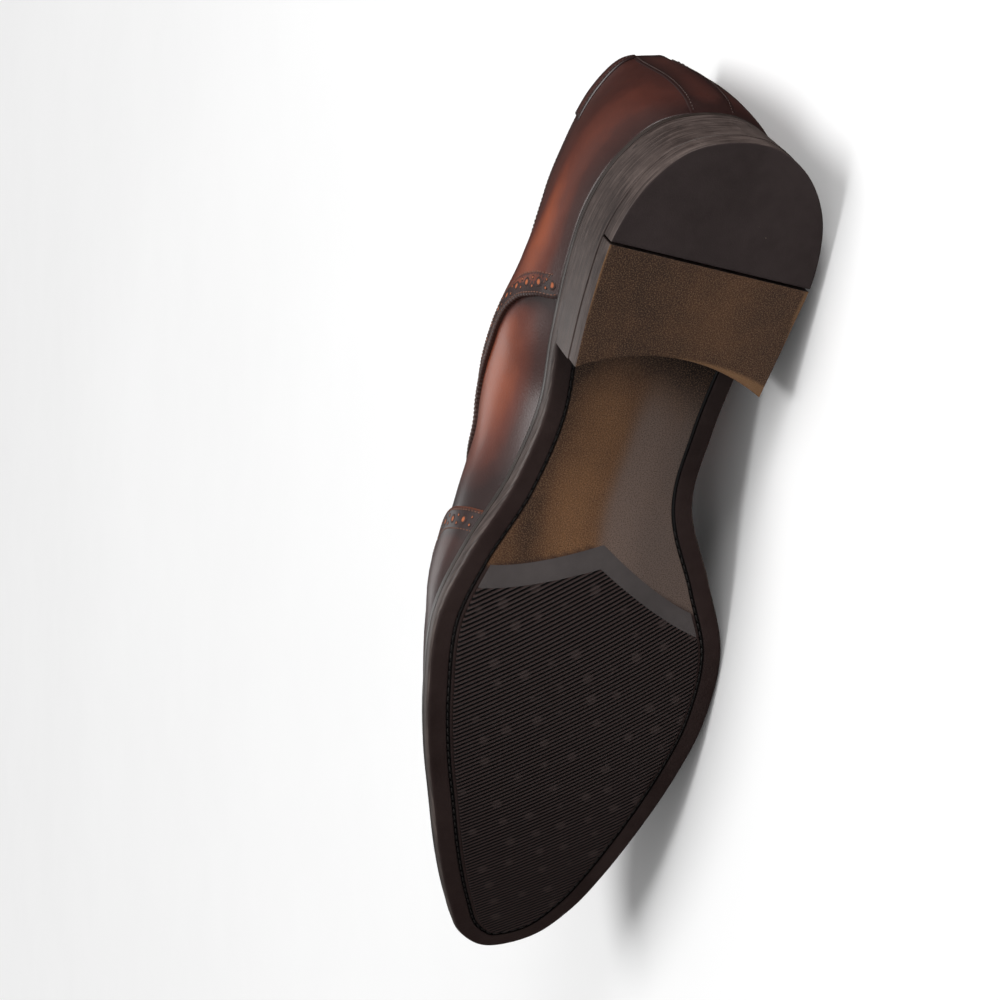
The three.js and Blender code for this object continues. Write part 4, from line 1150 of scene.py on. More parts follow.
def heelWear(points):
    # the face's edge is rubbed to tan along the breast and both sides, not at the joint
    x, y = points[:, 0], points[:, 1]
    share = np.interp(x, outline[1]["x"][:600], outline[1]["s"][:600])
    edge = insetAt(np.where(y > 0, 1, -1), share, heel["taper"])
    side = 1 - ramp(np.abs(edge["y"] - y), 0.0001, 0.0009)
    breast = heel["length"] - heel["hollow"] * (1 - np.minimum(1, (y / 0.036) ** 2))
    return np.maximum(side, 1 - ramp(breast - x, 0.0002, 0.0010)) * 0.55 * (points[:, 2] < 0.0004)


def heelMasks(points):
    # the leather top piece is coloured like the sole's waist, a little brighter near the middle of the
    # breast, with a little of the painted sheen towards the medial side
    x = points[:, 0]
    worn = 0.40 + 0.16 * hump(points[:, 1], -0.006, 0.016) * hump(x, 0.062, 0.016)
    return {"warm": worn, "medial": 0.14 + ramp(-points[:, 1], 0.0, 0.05) * 0.14, "margin": 0 * x,
            "groove": 0 * x, "worn": heelWear(points)}


def level(height):
    # the same height at every x
    return lambda x: np.full_like(x, height)


def makeHeel():
    # the top piece is rubber behind a slanted joint and leather before it; the stack fills up to the outsole
    thick, gap, split = heel["topPiece"], shoe["gap"], heel["length"] * heel["rubberShare"]
    radius, step, taper = 0.00035, 0.0002, heel["taper"]
    rounded = [(radius, level(0.0)), (radius * 0.3, level(radius * 0.3)), (0.0, level(radius)),
               (0.0, level(thick))]
    heelPiece("topPieceRubber", 0, split, rounded, heelRubber, ["top_piece_rubber"], taper)
    heelPiece("topPieceLeather", split + 2 * gap, heel["length"], rounded, soleLeather, ["top_piece_leather"],
              taper, heelMasks)
    stackLevels = [(step, level(thick + 0.1 * step)), (0.0, level(thick + step))]
    stackLevels += [(0.0, lambda x, k=k: thick + step + (undersideHeight(x) - thick - step / 2) * k)
                    for k in (0.5, 1.0)]
    heelPiece("heelStack", 0, heel["length"], stackLevels, heelEdge, ["heel_stack"], 0)


makeHeel()
print("sole and heel made")


# Upper

upper = {"rows": 200, "levels": 64, "lift": shoe["gap"] + shoe["overlay"], "tooth": 0.00022,
         "toothPitch": 0.0016, "stripHalfWidth": 0.0072, "stripShift": 0.0060, "stripShiftTop": 0.0024,
         "collarBand": 0.0085, "collarBandStart": 0.3, "collarBandEnd": 0.13, "rimRound": 0.0008,
         "hover": 0.00004, "under": 0.00003, "stripProud": 0.0003, "bandProud": 0.0007}

wingEdge = {"v": [0, 0.12, 0.28, 0.50, 0.66, 0.77, 0.86, 0.93, 1.0],
            "s": [0.455, 0.471, 0.498, 0.585, 0.670, 0.706, 0.710, 0.688, 0.650]}
quarterEdge = {"t": [0, 0.30, 0.36, 0.42, 0.50, 0.62, 0.74, 0.87, 1.0],
               "s": [0, 0.250, 0.262, 0.277, 0.305, 0.365, 0.430, 0.515, 0.577],
               "v": [0, 0, 0.16, 0.32, 0.43, 0.455, 0.48, 0.66, 0.90],
               "top": [0, 0.30, 0.335, 0.360, 0.385, 0.42, 0.465, 0.525, 0.576]}
quarterRise = {"v": quarterEdge["v"][1:], "s": quarterEdge["s"][1:]}

# places where the burnish is rubbed back, each with a painted highlight over it: quarter, vamp, heel,
# facing and toe
burnishAndHighlightSpots = [
    {"amount": 0.34, "v": 0.34, "height": 0.22, "s": 0.205, "length": 0.055},
    {"amount": 0.46, "v": 0.32, "height": 0.24, "s": 0.365, "length": 0.115},
    {"amount": 0.08, "v": 0.30, "height": 0.20, "s": 0.12, "length": 0.05},
    {"amount": 0.10, "v": 0.75, "height": 0.20, "s": 0.40, "length": 0.15},
    {"amount": 0.16, "v": 0.62, "height": 0.22, "s": 0.80, "length": 0.12},
]


def toneAt(w, v):
    # how far the burnish is rubbed back, with painted highlights: bright along the middle of each panel,
    # where the highlights are painted, dark at welt, top line and toe
    s = np.abs(w)
    tone = 0.30 - 0.12 * ramp(s, 0.42, 0.55) - 0.12 * (1 - ramp(s, 0.0, 0.09))
    # painted highlight: each spot lightens the burnish tone where light falls across a panel
    for spot in burnishAndHighlightSpots:
        tone = tone + spot["amount"] * hump(v, spot["v"], spot["height"]) * hump(s, spot["s"], spot["length"])
    return tone - 0.22 * (1 - ramp(v, 0.0, 0.16)) - 0.14 * ramp(v, 0.82, 1.0) * (1 - ramp(s, 0.5, 0.6))


def seamNearness(w, v):
    # on the base leather: 1 at the wing's and the quarter's edges, dying away over 9 mm and 2 mm: burnish
    # darkened at the seams, and painted shade beside the overlays' proud edges
    s = np.abs(w)
    toWing = np.abs(s - readTable(wingEdge, "v", "s", v)) * outline[1]["length"] * 0.8
    toQuarter = np.abs(s - readTable(quarterRise, "v", "s", v)) * outline[1]["length"] * 0.6
    return np.maximum(np.exp(-toWing / 0.009), np.exp(-toQuarter / 0.002))


def finePlaces(count, centre, closer):
    # places from 0 to 1, drawn closer together round a centre
    t = np.linspace(0, 1, 2000)
    weight = np.cumsum(1 + closer * hump(t, centre, 0.12))
    weight = (weight - weight[0]) / (weight[-1] - weight[0])
    return np.interp(np.linspace(0, 1, count), weight, t)


def roundTheLast(s, v):
    # a grid of places that goes once round, lateral side first, and ends a hair before it meets itself
    w = np.concatenate([s, -s[::-1]])[:, None]
    w[-1] = -1e-9
    return np.broadcast_arrays(w, v[None, :])


def makeUpper():
    # one wall all round: outer grid on the surface, inner one a wall's thickness inside, rim rounded at the
    # top line
    levels = np.concatenate([np.linspace(0, 0.96, upper["levels"]), [0.975, 0.988, 0.996, 1.0]])
    w, v = roundTheLast(finePlaces(upper["rows"], 0.62, 1.6), levels)
    free = 1 - ramp(np.abs(w), shoe["throat"] - 0.03, shoe["throat"])
    rounded = upper["rimRound"] * free * ramp(v, 0.985, 1.0) ** 2
    outer, inner = onWall(w, v, -rounded), onWall(w, v, -shoe["wall"] + rounded)
    middle = (np.abs(w[:-1, 0]) + np.abs(w[1:, 0])) / 2
    points, faces = shellMesh(outer, inner, ("low", "high"), middle < shoe["throat"])
    tone, rim = toneAt(w, v), seamNearness(w, v)
    # the inner face takes six tenths of the tone, darker: painted shade inside the shoe
    masks = {"tone": np.concatenate([tone.ravel(), tone.ravel() * 0.6]), "rim": np.tile(rim.ravel(), 2)}
    return makePiece("upperBody", points, faces, calf, ["upper"], None, masks, 55)


def makeLining():
    # a thin skin just inside the wall, from near the welt to just under the top line
    w, v = roundTheLast(finePlaces(90, 0.5, 0.2), np.linspace(0.05, 0.975, 24))
    outer, inner = [onWall(w, v, -shoe["wall"] - depth) for depth in (0.0001, 0.0004)]
    points, faces = shellMesh(outer, inner, ("low", "high"))
    return makePiece("lining", points, faces, liningLeather, (), None, None, 55)


def roundedLift(distance, lift, radius=0.0005):
    # height of an overlay near its border: a quarter circle of the radius
    t = np.clip(distance / radius, 0, 1)
    return lift - radius * (1 - np.sqrt(1 - (1 - t) ** 2))


def seated(w, v):
    # an overlay thins towards the welt: four tenths of its lift at the feather line, all of it 10 mm up
    up = np.linalg.norm(bareWall(w, v) - bareWall(w, np.zeros_like(v)), axis=-1)
    return 0.4 + 0.6 * ramp(up, 0.0, 0.010)


def edgeFrames(w, v, turn):
    # along the edge, outwards, and inwards over the leather; turn is 1 where the leather lies above, -1
    # towards toe
    points = onWall(w, v)
    side = np.where(w < 0, -1, 1)
    along = unit(np.gradient(points, axis=0))
    normal = wallNormal(side, np.abs(w), v)
    inward = unit(np.cross(along, normal)) * (turn * side)[:, None]
    return points, along, normal, inward


def evenEdge(w, v, spacing):
    # the same edge with its places a spacing apart, and how far along each lies
    points = onWall(w, v)
    run = runAlong(points)
    count = int(run[-1] / spacing) + 1
    even = np.linspace(0, run[-1], count)
    return np.interp(even, run, w), np.interp(even, run, v), even


def toothed(run):
    # pinked edge: a triangle wave with slightly rounded tips
    t = np.abs(2 * ((run / upper["toothPitch"]) % 1) - 1)
    return upper["tooth"] * t * t * (3 - 2 * t)


def overlayMasks(w, v, reach, cut):
    # the punched band is dark as far as its inner stitches, and the cut edge shows a little tan
    rim = 0.6 * (1 - ramp(reach, 0.0068, 0.0115)) + 0.4 * np.exp(-reach / 0.004)
    edge = cut * (1 - ramp(reach, 0.0002, 0.0006))
    return {"tone": toneAt(w, v), "rim": rim, "cut": edge}


def overlayPiece(name, node, w, v, outer, inner, masks, closed=("start", "end", "low", "high")):
    # a panel between two lifts over the wall, its masks alike on both faces
    points, faces = shellMesh(onWall(w, v, outer), onWall(w, v, inner), closed)
    masks = {key: np.tile(part.ravel(), 2) for key, part in masks.items()}
    return makePiece(name, points, faces, calf, [node], None, masks, 55)


def toothedColumns(w, v, run, inward, free=1.0):
    # the first columns inwards from an edge; the teeth die away within 2 mm
    found = []
    for reach in (0.0, 0.0003, 0.0009, 0.002, 0.004, 0.007):
        teeth = toothed(run) * (1 - ramp(reach, 0.0, 0.002)) * free
        found.append(walk(w, v, inward, reach - teeth))
    return found


def wingLine(side):
    # the wing's edge, from the welt up to the peak
    v = np.linspace(0.0, 1, 1500)
    return evenEdge(side * readTable(wingEdge, "v", "s", v), v, upper["toothPitch"] / 6)


def quarterLine(side, start=0.0):
    # the quarter's lower edge from its start along the welt, then up to the throat
    t = np.linspace(start, 1, 1500)
    return evenEdge(side * readTable(quarterEdge, "t", "s", t), readTable(quarterEdge, "t", "v", t),
                    upper["toothPitch"] / 6)


def makeWingCap():
    # rows run up the edge of one side and down the other; columns go from the toothed edge to the toe
    halves = []
    for side in (1, -1):
        w, v, run = wingLine(side)
        columns = toothedColumns(w, v, run, edgeFrames(w, v, -1)[3])
        for k, (cw, cv) in enumerate(columns):
            # both sides end on the same place of the ridge
            cv[-1] = 1.0
            cw[-1] = side * np.abs(halves[0][0][-1, k] if halves else cw[-1])
        lastW, lastV = columns[-1]
        for share in np.linspace(0, 1, 43)[1:]:
            columns.append((lastW + (side - lastW) * share, lastV + (v - lastV) * share))
        halves.append([np.stack(part, axis=1)[::side] for part in zip(*columns)])
    w, v = [np.concatenate([halves[0][k], halves[1][k]]) for k in (0, 1)]
    reach = borderDistance(onWall(w, v), ("low",))
    lift = roundedLift(reach, upper["lift"]) * seated(w, v) + upper["hover"]
    masks = overlayMasks(w, v, reach, 0.8)
    return overlayPiece("wingCap", "wing_cap", w, v, lift, upper["under"], masks, ("start", "end", "low"))


def makeQuarter(side, name, node):
    # rows follow the lower edge from the back strip to the throat; columns rise from it to the top line
    w, v, run = quarterLine(side)
    dense = np.linspace(0, 1, 1500)
    line = onWall(side * readTable(quarterEdge, "t", "s", dense), readTable(quarterEdge, "t", "v", dense))
    t = np.interp(run, runAlong(line), dense)
    free = ramp(t, 0.28, 0.32)
    columns = toothedColumns(w, v, run, edgeFrames(w, v, 1)[3], free)
    lastW, lastV = columns[-1]
    topS = readTable(quarterEdge, "t", "top", t)
    for share in np.concatenate([np.linspace(0, 0.95, 30)[1:], [0.975, 0.99, 1.0]]):
        columns.append((lastW + (side * topS - lastW) * share, lastV + (0.997 - lastV) * share))
    w, v = [np.stack(part, axis=1) for part in zip(*columns)]
    clear = stripEdge(side, v[:40], -0.001)
    w[:40] = side * np.maximum(np.abs(w[:40]), clear)
    base = onWall(w, v)
    reach = borderDistance(base, ("low", "end", "high"))
    lift = roundedLift(reach, upper["lift"]) * seated(w, v) + upper["hover"]
    masks = overlayMasks(w, v, borderDistance(base, ("low",)) + 0.03 * (1 - free[:, None]), 0.15)
    return overlayPiece(name, node, w, v, lift, upper["under"], masks)


def makeBackStrip():
    # a strip up the back seam, a little proud of the quarters it covers
    v = np.linspace(0.0, 0.998, 90)[:, None]
    across = np.concatenate([[-1, -0.985, -0.95], np.linspace(-0.9, 0.9, 25), [0.95, 0.985, 1]])[None, :]
    w = wFromBack(v * np.ones_like(across), stripMiddle(v) + across * (upper["stripHalfWidth"] + 0.0004))
    v = v * np.ones_like(across)
    base = onWall(w, v)
    reach = borderDistance(base, ("low", "high", "end"))
    lift = roundedLift(reach, upper["lift"] + upper["stripProud"]) * seated(w, v)
    rim = np.exp(-borderDistance(base, ("start", "end", "low", "high")) / 0.003)
    masks = {"tone": toneAt(w, v) + 0.1, "rim": rim}
    return overlayPiece("backStrip", "back_strip", w, v, lift, 0.0002, masks)


def collarWidth(s, start):
    # grows with the root of the share of its length
    share = np.clip((s - start) / (upper["collarBandEnd"] - start), 0, 1)
    return upper["collarBand"] * (upper["collarBandStart"] + (1 - upper["collarBandStart"]) * np.sqrt(share))


def makeCollarBand(side, name, node):
    # a band along the collar, narrow where it leaves the back strip and ending square at its stitched end
    start = float(stripEdge(side, 0.95, -0.0006))
    s = np.concatenate([np.linspace(start, upper["collarBandEnd"] - 0.003, 70),
                        upper["collarBandEnd"] - np.array([0.002, 0.001, 0.0])])
    low = vBelow(side * s, collarWidth(s, start))[:, None]
    share = np.concatenate([[0, 0.02, 0.05], np.linspace(0.1, 0.9, 12), [0.95, 0.98, 1]])[None, :]
    v = low + (0.999 - low) * share
    w = side * s[:, None] * np.ones_like(share)
    base = onWall(w, v)
    reach = borderDistance(base, ("low", "high", "end"))
    masks = {"tone": toneAt(w, v) + 0.28, "rim": np.exp(-reach / 0.0028)}
    lift = roundedLift(reach, upper["lift"] + upper["bandProud"])
    return overlayPiece(name, node, w, v, lift, 0.0006, masks)


makeUpper()
makeLining()
makeWingCap()
makeQuarter(1, "quarterLateral", "quarter_lateral")
makeQuarter(-1, "quarterMedial", "quarter_medial")
makeBackStrip()
makeCollarBand(1, "collarBandLateral", "collar_band_lateral")
makeCollarBand(-1, "collarBandMedial", "collar_band_medial")
print("upper made")


# Insole, tongue and laces

def makeInsole():
    # the sock's section, as insets inside the wall and heights, carried round; its top is filled straight
    # across
    low, high = shoe["outsole"] + shoe["gap"], soleThickness
    section = ((0.004, low), (0, low), (0, high + 0.0014), (0.0003, high + 0.0020), (0.001, high + 0.0022))
    s = evenShares(160)[:, None]
    rows = {}
    for side in (1, -1):
        inside = reachAt(outlineAt(side, s)["x"]) + shoe["wall"] + 2 * shoe["gap"]
        rows[side] = [onUnderside(insetAt(side, s, inside + inset), z)[:, 0] for inset, z in section]
    lateral, medial = rows[1], rows[-1]
    top = [medial[4] + (lateral[4] - medial[4]) * t for t in np.linspace(0, 1, 14)[1:-1]]
    points = np.stack([*lateral, *top[::-1], *medial[::-1], lateral[0]], axis=1)
    faces = gridSkin(points)
    return makePiece("insoleSock", points, faces, liningLeather, ["insole"])


tongue = {"thickness": 0.0024, "rise": 0.013, "edge": 0.4, "from": 0.60, "to": 0.40, "arch": 0.0008,
          "tone": 0.40}


def makeTongue():
    # a strip under both facings and arched across the gap, rising past their top with a rounded end
    below = shoe["wall"] + 3.5 * shoe["gap"]
    across = np.concatenate([[-1, -0.98], np.linspace(-0.95, 0.95, 37), [0.98, 1]])
    s = np.linspace(tongue["from"], tongue["to"], 48)[:, None]

    def surface(depth):
        # one face: rows along the facings, then rows beyond their top, all a depth below the wall
        out = np.clip((np.abs(across) - tongue["edge"]) / (1 - tongue["edge"]), 0, 1)[None, :]
        v = (0.95 - 0.16 * out) * np.ones_like(s)
        sides = {k: onWall(k * s * np.ones_like(v), v, -below - depth) for k in (1, -1)}
        share = np.clip((across / tongue["edge"] + 1) / 2, 0, 1)[None, :, None]
        arch = tongue["arch"] * np.clip(1 - (across / tongue["edge"]) ** 2, 0, 1)[None, :, None]
        made = sides[-1] * (1 - share) + sides[1] * share + arch * np.array([0, 0, 1])
        way = unit(made[-1] - made[-4])
        reach = tongue["rise"] * (1 - 0.45 * across ** 2)[:, None]
        beyond = [made[-1] + way * reach * t for t in np.linspace(0, 1, 9)[1:]]
        return np.concatenate([made, np.stack(beyond)])

    points, faces = shellMesh(surface(0), surface(tongue["thickness"]))
    masks = {"tone": np.full(len(points), tongue["tone"]), "rim": np.zeros(len(points))}
    return makePiece("tongueLeather", points, faces, calf, ["tongue"], None, masks, 55)


laces = {"width": 0.0036, "thickness": 0.0016, "eyelets": 5, "first": 0.405, "last": 0.535, "inset": 0.0075,
         "radius": 0.0016, "dive": 0.0035, "runDepth": 0.0005, "runThickness": 0.0006}
eyeletShares = np.linspace(laces["first"], laces["last"], laces["eyelets"])


def ribbon(path, up, width, thickness):
    # a flat strip with rounded edges carried along a path: its section is a squashed ring of twelve points
    along = unit(np.gradient(path, axis=0))
    across = unit(np.cross(up, along))
    up = unit(np.cross(along, across))
    turn = np.linspace(0, 2 * np.pi, 13)
    flat = np.sign(np.cos(turn)) * np.abs(np.cos(turn)) ** 0.6 * width / 2
    high = np.sign(np.sin(turn)) * np.abs(np.sin(turn)) ** 0.8 * thickness / 2
    grid = path[:, None] + across[:, None] * flat[None, :, None] + up[:, None] * high[None, :, None]
    ends = [np.repeat(path[k:k + 1, None], len(turn), axis=1) for k in (0, len(path) - 1)]
    return np.concatenate([ends[0], grid, ends[1]])


def smoothPath(points, count):
    # rounds a path of a few points by running a quadratic spline through their middles
    points = np.asarray(points)
    middles = np.concatenate([points[:1], (points[1:-2] + points[2:-1]) / 2, points[-1:]])
    pieces = []
    for a, b, c in zip(middles[:-1], points[1:-1], middles[1:]):
        t = np.linspace(0, 1, count)[:-1, None]
        pieces.append(a * (1 - t) ** 2 + 2 * b * t * (1 - t) + c * t * t)
    return np.concatenate(pieces + [points[-1:]])


def makeLaceBars():
    # each bar comes up through its eyelet, crosses the facings and the gap, and goes down through the other
    lift = upper["lift"] + shoe["gap"] + laces["thickness"] / 2
    for number, s in enumerate(eyeletShares, 1):
        stops, ups = [], []
        for side in (-1, 1):
            w = np.full(5, side * s)
            eyelet, between = [vBelow(w, inset)[0] for inset in (laces["inset"], laces["inset"] / 2)]
            v = np.array([eyelet, eyelet, eyelet, between, 0.988])
            leg = onWall(w, v, np.array([-laces["dive"], 0.0, lift * 1.02, lift, lift]))
            stops.append(leg[::-side])
            ups.append(wallNormal(np.full(5, side), np.abs(w), v)[::-side])
        path = smoothPath(np.concatenate(stops), 8)
        up = smoothPath(np.concatenate(ups), 8)
        grid = ribbon(path, unit(up), laces["width"], laces["thickness"])
        makePiece(f"laceBar{number}", grid, gridSkin(grid), laceCotton, [f"lace_bar_{number}"],
                  sharp=60)


def makeLaceRuns():
    # under the facings the lace goes from each eyelet down to the next
    grids = []
    for side in (-1, 1):
        for a, b in zip(eyeletShares[:-1], eyeletShares[1:]):
            s = np.linspace(a, b, 14)
            v = vBelow(side * s, laces["inset"])
            path = onWall(side * s, v, -shoe["wall"] - laces["runDepth"])
            up = wallNormal(np.full(len(s), side), s, v)
            grids.append(ribbon(path, up, laces["width"] * 0.8, laces["runThickness"]))
    rows, columns = grids[0].shape[:2]
    points = np.concatenate([grid.reshape(-1, 3) for grid in grids])
    faces = np.concatenate([gridSkin(grid) + k * rows * columns for k, grid in enumerate(grids)])
    makePiece("laceRuns", points, faces, laceCotton, (), sharp=60)


makeInsole()
makeTongue()
makeLaceBars()
makeLaceRuns()
print("insole, tongue and laces made")


# Stitches and punched holes

brogue = {"large": 0.00145, "small": 0.00066, "pitch": 0.0072, "row": 0.0042, "pair": 0.00135,
          "rows": [0.0010, 0.0073], "stitch": 0.0015, "stitchLength": 0.00115, "stitchWidth": 0.00024,
          "stitchHeight": 0.0002}
seams = {"spacing": 0.0016, "fromEdge": 0.0009, "collarInset": 0.001, "endInset": 0.0035, "topInset": 0.0016,
         "facingInset": 0.0135}


def rowInside(line, turn, distance, lift):
    # a line a distance inside an edge, as places with their directions
    w, v, _ = line
    inward = edgeFrames(w, v, turn)[3]
    w, v = walk(w, v, inward, np.full(len(w), distance))
    side = 1 if w[0] > 0 else -1
    return onWall(w, v, lift * seated(w, v)), w, v, side


def framesAt(points, w, v, side, at):
    # places on a line of points by their numbers, with the directions along it, across it and off the leather
    places = np.stack([np.interp(at, np.arange(len(points)), points[:, k]) for k in range(3)], axis=1)
    cw, cv = [np.interp(at, np.arange(len(w)), part) for part in (w, v)]
    up = wallNormal(np.full(len(cw), side), np.abs(cw), cv)
    tangent = unit(np.gradient(points, axis=0))
    along = np.stack([np.interp(at, np.arange(len(points)), tangent[:, k]) for k in range(3)], axis=1)
    along = unit(along - up * (along * up).sum(-1, keepdims=True))
    return places, along, np.cross(up, along), up


def stitchRun(line, turn, distance, lift):
    # a row of stitches a distance inside an edge
    points, w, v, side = rowInside(line, turn, distance, lift)
    return framesAt(points, w, v, side, evenly(points, brogue["stitch"]))


def seamRun(side, s, v, lift, spacing):
    # a row of stitches along places given outright
    points = onWall(side * s, v, lift)
    return framesAt(points, side * s, v, side, evenly(points, spacing))


def makeStitches():
    # on each side: both rows beside every punched border, then the seams of back strip, collar, top line
    # and facing
    lift = upper["lift"] + 0.00005
    template = stitchTemplate(brogue["stitchLength"], brogue["stitchWidth"], brogue["stitchHeight"])
    borders, rest = [], []
    for side in (1, -1):
        for distance in brogue["rows"]:
            borders.append(stitchRun(wingLine(side), -1, distance, lift))
            borders.append(stitchRun(quarterLine(side, 0.30), 1, distance, lift))
        v = np.linspace(0.02, 0.99, 400)
        s = stripEdge(side, v, -seams["fromEdge"])
        rest.append(seamRun(side, s, v, (lift + upper["stripProud"]) * seated(side * s, v), seams["spacing"]))
        start = float(stripEdge(side, 0.95, 0.001))
        s = np.linspace(start, upper["collarBandEnd"] - 0.002, 400)
        v = vBelow(side * s, collarWidth(s, start) - seams["collarInset"])
        rest.append(seamRun(side, s, v, lift + upper["bandProud"], seams["spacing"]))
        s = np.full(80, upper["collarBandEnd"] - seams["endInset"])
        v = np.linspace(vBelow(side * s, upper["collarBand"] - seams["collarInset"])[0], 0.992, 80)
        rest.append(seamRun(side, s, v, lift + upper["bandProud"], seams["spacing"]))
        for start, end, count, inset in ((upper["collarBandEnd"] + 0.004, 0.565, 700, seams["topInset"]),
                                         (0.375, 0.56, 400, seams["facingInset"])):
            s = np.linspace(start, end, count)
            rest.append(seamRun(side, s, vBelow(side * s, inset), lift, brogue["stitch"]))
    stitchPiece("brogueStitches", template, borders, threadBrown)
    stitchPiece("seamStitches", template, rest, threadDark)


def holeTemplate():
    # a rolled rim round a floor that is tan in the middle and painted dark towards the rim as the hole's
    # shade; heights stay just above the leather
    rings = [(1.18, -0.00012), (1.06, 0.00009), (0.90, 0.00013), (0.74, 0.00009), (0.0, 0.00011)]
    angles = np.linspace(0, 2 * np.pi, 12, endpoint=False)
    points = np.concatenate([stack(np.cos(angles) * r, np.sin(angles) * r, np.full(12, h)) for r, h in rings])
    first = np.arange(12)
    after = (first + 1) % 12
    ringFaces = np.stack([first, after, after + 12, first + 12], axis=1)
    faces = np.concatenate([ringFaces + 12 * k for k in range(4)])
    return points, faces, np.repeat([1.0, 1.0, 0.9, 0.15, 0.0], 12)


def holesAlong(line, turn, row, lift):
    # a large hole at every pitch along the row, and a pair of small ones across it halfway between
    points, w, v, side = rowInside(line, turn, row, lift)
    places = evenly(points, brogue["pitch"] / 2)
    large, between = [framesAt(points, w, v, side, places[first::2]) for first in (0, 1)]
    found = [(large, brogue["large"])]
    for way in (1, -1):
        found.append(((between[0] + between[2] * way * brogue["pair"], *between[1:]), brogue["small"]))
    return found


def medallion(lift):
    # a generic figure on the toe: a middle hole, a ring of eight, and two curling sprays of small holes
    angles = np.arange(8) * np.pi / 4 + np.pi / 8
    spots = [(0, 0.0002, 1.0)] + [(0.0052 * math.cos(a), 0.0052 * math.sin(a), 0.5) for a in angles]
    for k in range(5):
        size = 0.75 if k == 4 else 0.5
        for side in (1, -1):
            spots.append((0.009 + 0.0032 * k, side * (0.001 + 0.0011 * k * (4.6 - k) / 2.3), size))
            spots.append((-0.009 - 0.0030 * k, side * (0.0015 + 0.0024 * k), size))
    found = []
    for along, out, size in spots:
        side = 1 if out > 0 else -1
        direction = unit(np.array([[along, out, 0.0]]))
        start = np.array([side * 0.80]), np.array([0.999])
        w, v = walk(*start, direction, np.array([math.hypot(along, out)]), 10)
        place = onWall(w, v, lift)
        up = wallNormal(np.array([side]), np.abs(w), v)
        along3 = unit(np.cross(up, [[0, 1.0, 0]]))
        found.append(((place, along3, np.cross(up, along3), up), brogue["large"] * size))
    return found


def makeHoles():
    # the holes of both borders, the eyelets and the toe's figure, all copies of one template at their own
    # radius
    template, faces, tone = holeTemplate()
    found = []
    for side in (1, -1):
        found += holesAlong(wingLine(side), -1, brogue["row"], upper["lift"])
        found += holesAlong(quarterLine(side, 0.30), 1, brogue["row"], upper["lift"])
        v = vBelow(side * eyeletShares, laces["inset"])
        up = wallNormal(np.full(laces["eyelets"], side), eyeletShares, v)
        along = unit(np.cross(up, np.broadcast_to([0.0, 1, 0], up.shape)))
        places = onWall(side * eyeletShares, v, upper["lift"])
        found.append(((places, along, np.cross(up, along), up), laces["radius"]))
    found += medallion(upper["lift"])
    points, numbers, tones, count = [], [], [], 0
    for frames, radius in found:
        placed, placedFaces = placeMany(template * [radius, radius, 1.0], faces, *frames)
        points.append(placed)
        numbers.append(placedFaces + count)
        tones.append(np.tile(tone, len(frames[0])))
        count += len(placed)
    points, faces, masks = np.concatenate(points), np.concatenate(numbers), {"tone": np.concatenate(tones)}
    return makePiece("punchedHoles", points, faces, punched, masks=masks, sharp=180)


makeStitches()
makeHoles()
print("stitches and holes made")


# Floor, light and camera

stage = {"floorHalf": 9.0, "floorStops": [(0.3, (0.86, 0.86, 0.86)), (0.7, (0.88, 0.88, 0.88))],
         "domeStrength": 0.38, "sunEnergy": 2.0, "sunAngle": 35, "sunFrom": (-0.12, -0.10, 1.0)}
lamps = [
    {"name": "cardBehind", "place": (0.50, -1.00, 0.50), "target": (0, 0, 0.05), "size": 0.6, "power": 1.2,
     "diffuse": False},
    {"name": "soleFill", "place": (0.1, 1.2, 0.7), "target": (0, 0, 0.05), "size": 0.8, "power": 1.5,
     "diffuse": True},
    {"name": "heelRim", "place": (-1.1, 0.15, 0.35), "target": (-0.05, 0, 0.05), "size": 0.6, "power": 11,
     "diffuse": True},
]


def makeFloor():
    # a large pale square at z 0, faintly clouded, left out of reflections so that it doesn't wash out dark
    # leather
    mesh = bpy.data.meshes.new("floor")
    half = stage["floorHalf"]
    corners = [(-half, -half, 0), (half, -half, 0), (half, half, 0), (-half, half, 0)]
    mesh.from_pydata(corners, [], [(0, 1, 2, 3)])
    material, tree, shader = startMaterial("paleFloor", {"roughness": 0.8, "specular": 0.2})
    color = cloudyColor(tree, objectPlace(tree), 3.0, stage["floorStops"])
    tree.links.new(color, shader.inputs["Base Color"])
    mesh.materials.append(material)
    floor = bpy.data.objects.new("floor", mesh)
    bpy.context.scene.collection.objects.link(floor)
    floor.visible_glossy = False


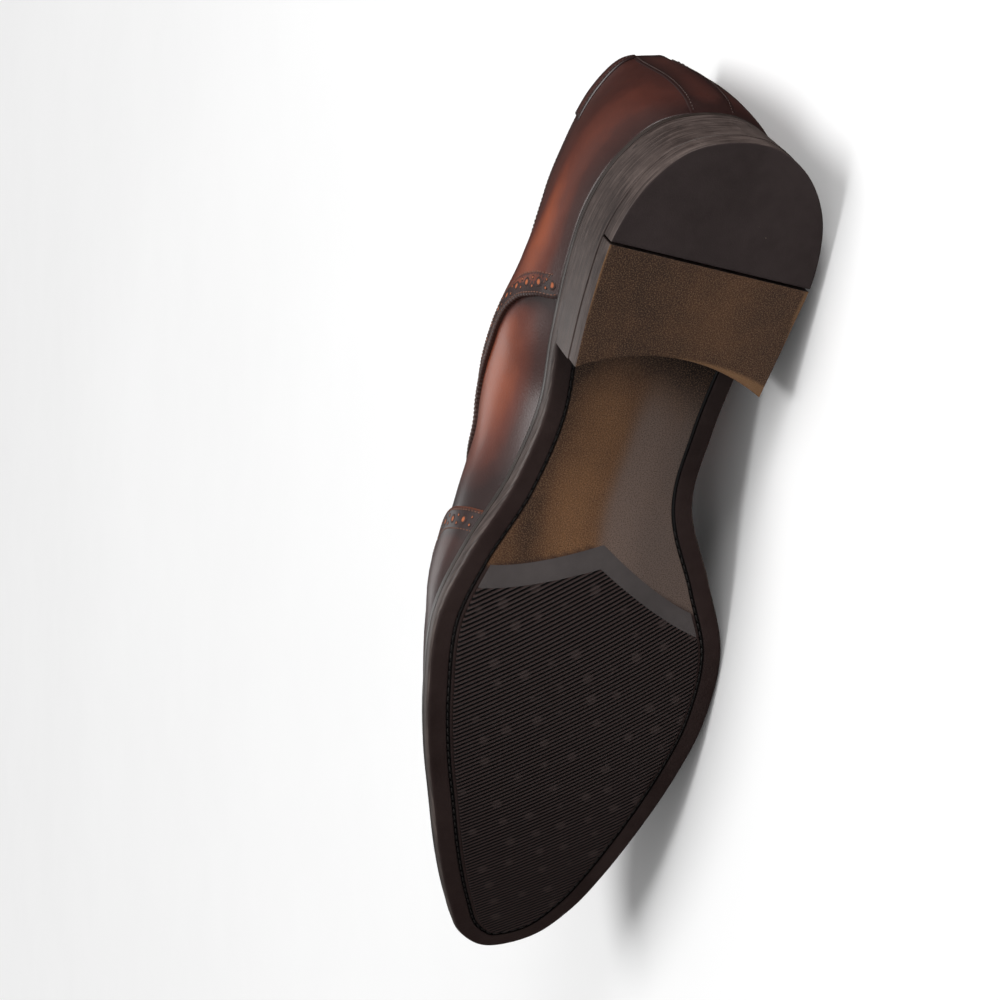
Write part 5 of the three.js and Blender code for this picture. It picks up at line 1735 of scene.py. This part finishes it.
def softLight(lamp):
    # a round area light turned to its target and hidden from the camera; some only make sheens
    light = bpy.data.lights.new(lamp["name"], "AREA")
    light.shape = "DISK"
    light.size = lamp["size"]
    light.energy = lamp["power"]
    holder = bpy.data.objects.new(lamp["name"], light)
    holder.location = lamp["place"]
    way = Vector(lamp["target"]) - Vector(lamp["place"])
    holder.rotation_euler = way.to_track_quat("-Z", "Y").to_euler()
    holder.visible_camera = False
    holder.visible_diffuse = lamp["diffuse"]
    bpy.context.scene.collection.objects.link(holder)


view = {"place": (-0.1202, 0.2699, -0.5141), "forward": (0.4002, -0.3651, 0.8405),
        "down": (0.8729, -0.1273, -0.471), "lens": 72.0, "sensor": 36.0}


def makeCamera():
    # the photograph's place and angle to the shoe, found standing and laid down with it
    camera = bpy.data.objects.new("camera", bpy.data.cameras.new("camera"))
    camera.data.lens = view["lens"]
    camera.data.sensor_width = view["sensor"]
    camera.data.clip_start = 0.01
    forward, down = [unit(turned @ np.array(view[k])) for k in ("forward", "down")]
    up = unit(-down + forward * (down @ forward))
    right = np.cross(forward, up)
    place = layDown([view["place"]])[0]
    rows = [[right[k], up[k], -forward[k], place[k]] for k in range(3)]
    camera.matrix_world = Matrix(rows + [[0, 0, 0, 1]])
    bpy.context.scene.collection.objects.link(camera)
    bpy.context.scene.camera = camera


def makeWorld():
    # a pale dome above and a dark room below the horizon
    world = bpy.data.worlds.new("studio")
    world.use_nodes = True
    tree = world.node_tree
    way = addNode(tree, "ShaderNodeTexCoord").outputs["Generated"]
    up = addNode(tree, "ShaderNodeSeparateXYZ", {0: way}).outputs[2]
    shade = colorRamp(tree, fade(tree, up, -0.1, 0.5), [(0.0, (0.05, 0.05, 0.05)), (1.0, (1, 1, 1))])
    tree.links.new(shade, tree.nodes["Background"].inputs["Color"])
    tree.nodes["Background"].inputs["Strength"].default_value = stage["domeStrength"]
    bpy.context.scene.world = world


def makeSun():
    # lights the whole floor alike, from nearly overhead and a little behind the upper
    sun = bpy.data.lights.new("sun", "SUN")
    sun.energy = stage["sunEnergy"]
    sun.angle = math.radians(stage["sunAngle"])
    holder = bpy.data.objects.new("sun", sun)
    holder.rotation_euler = Vector(stage["sunFrom"]).to_track_quat("Z", "Y").to_euler()
    bpy.context.scene.collection.objects.link(holder)


makeFloor()
makeWorld()
makeCamera()
bpy.context.scene.view_settings.view_transform = "Standard"
makeSun()
for lamp in lamps:
    softLight(lamp)
print("floor, lights and camera made")
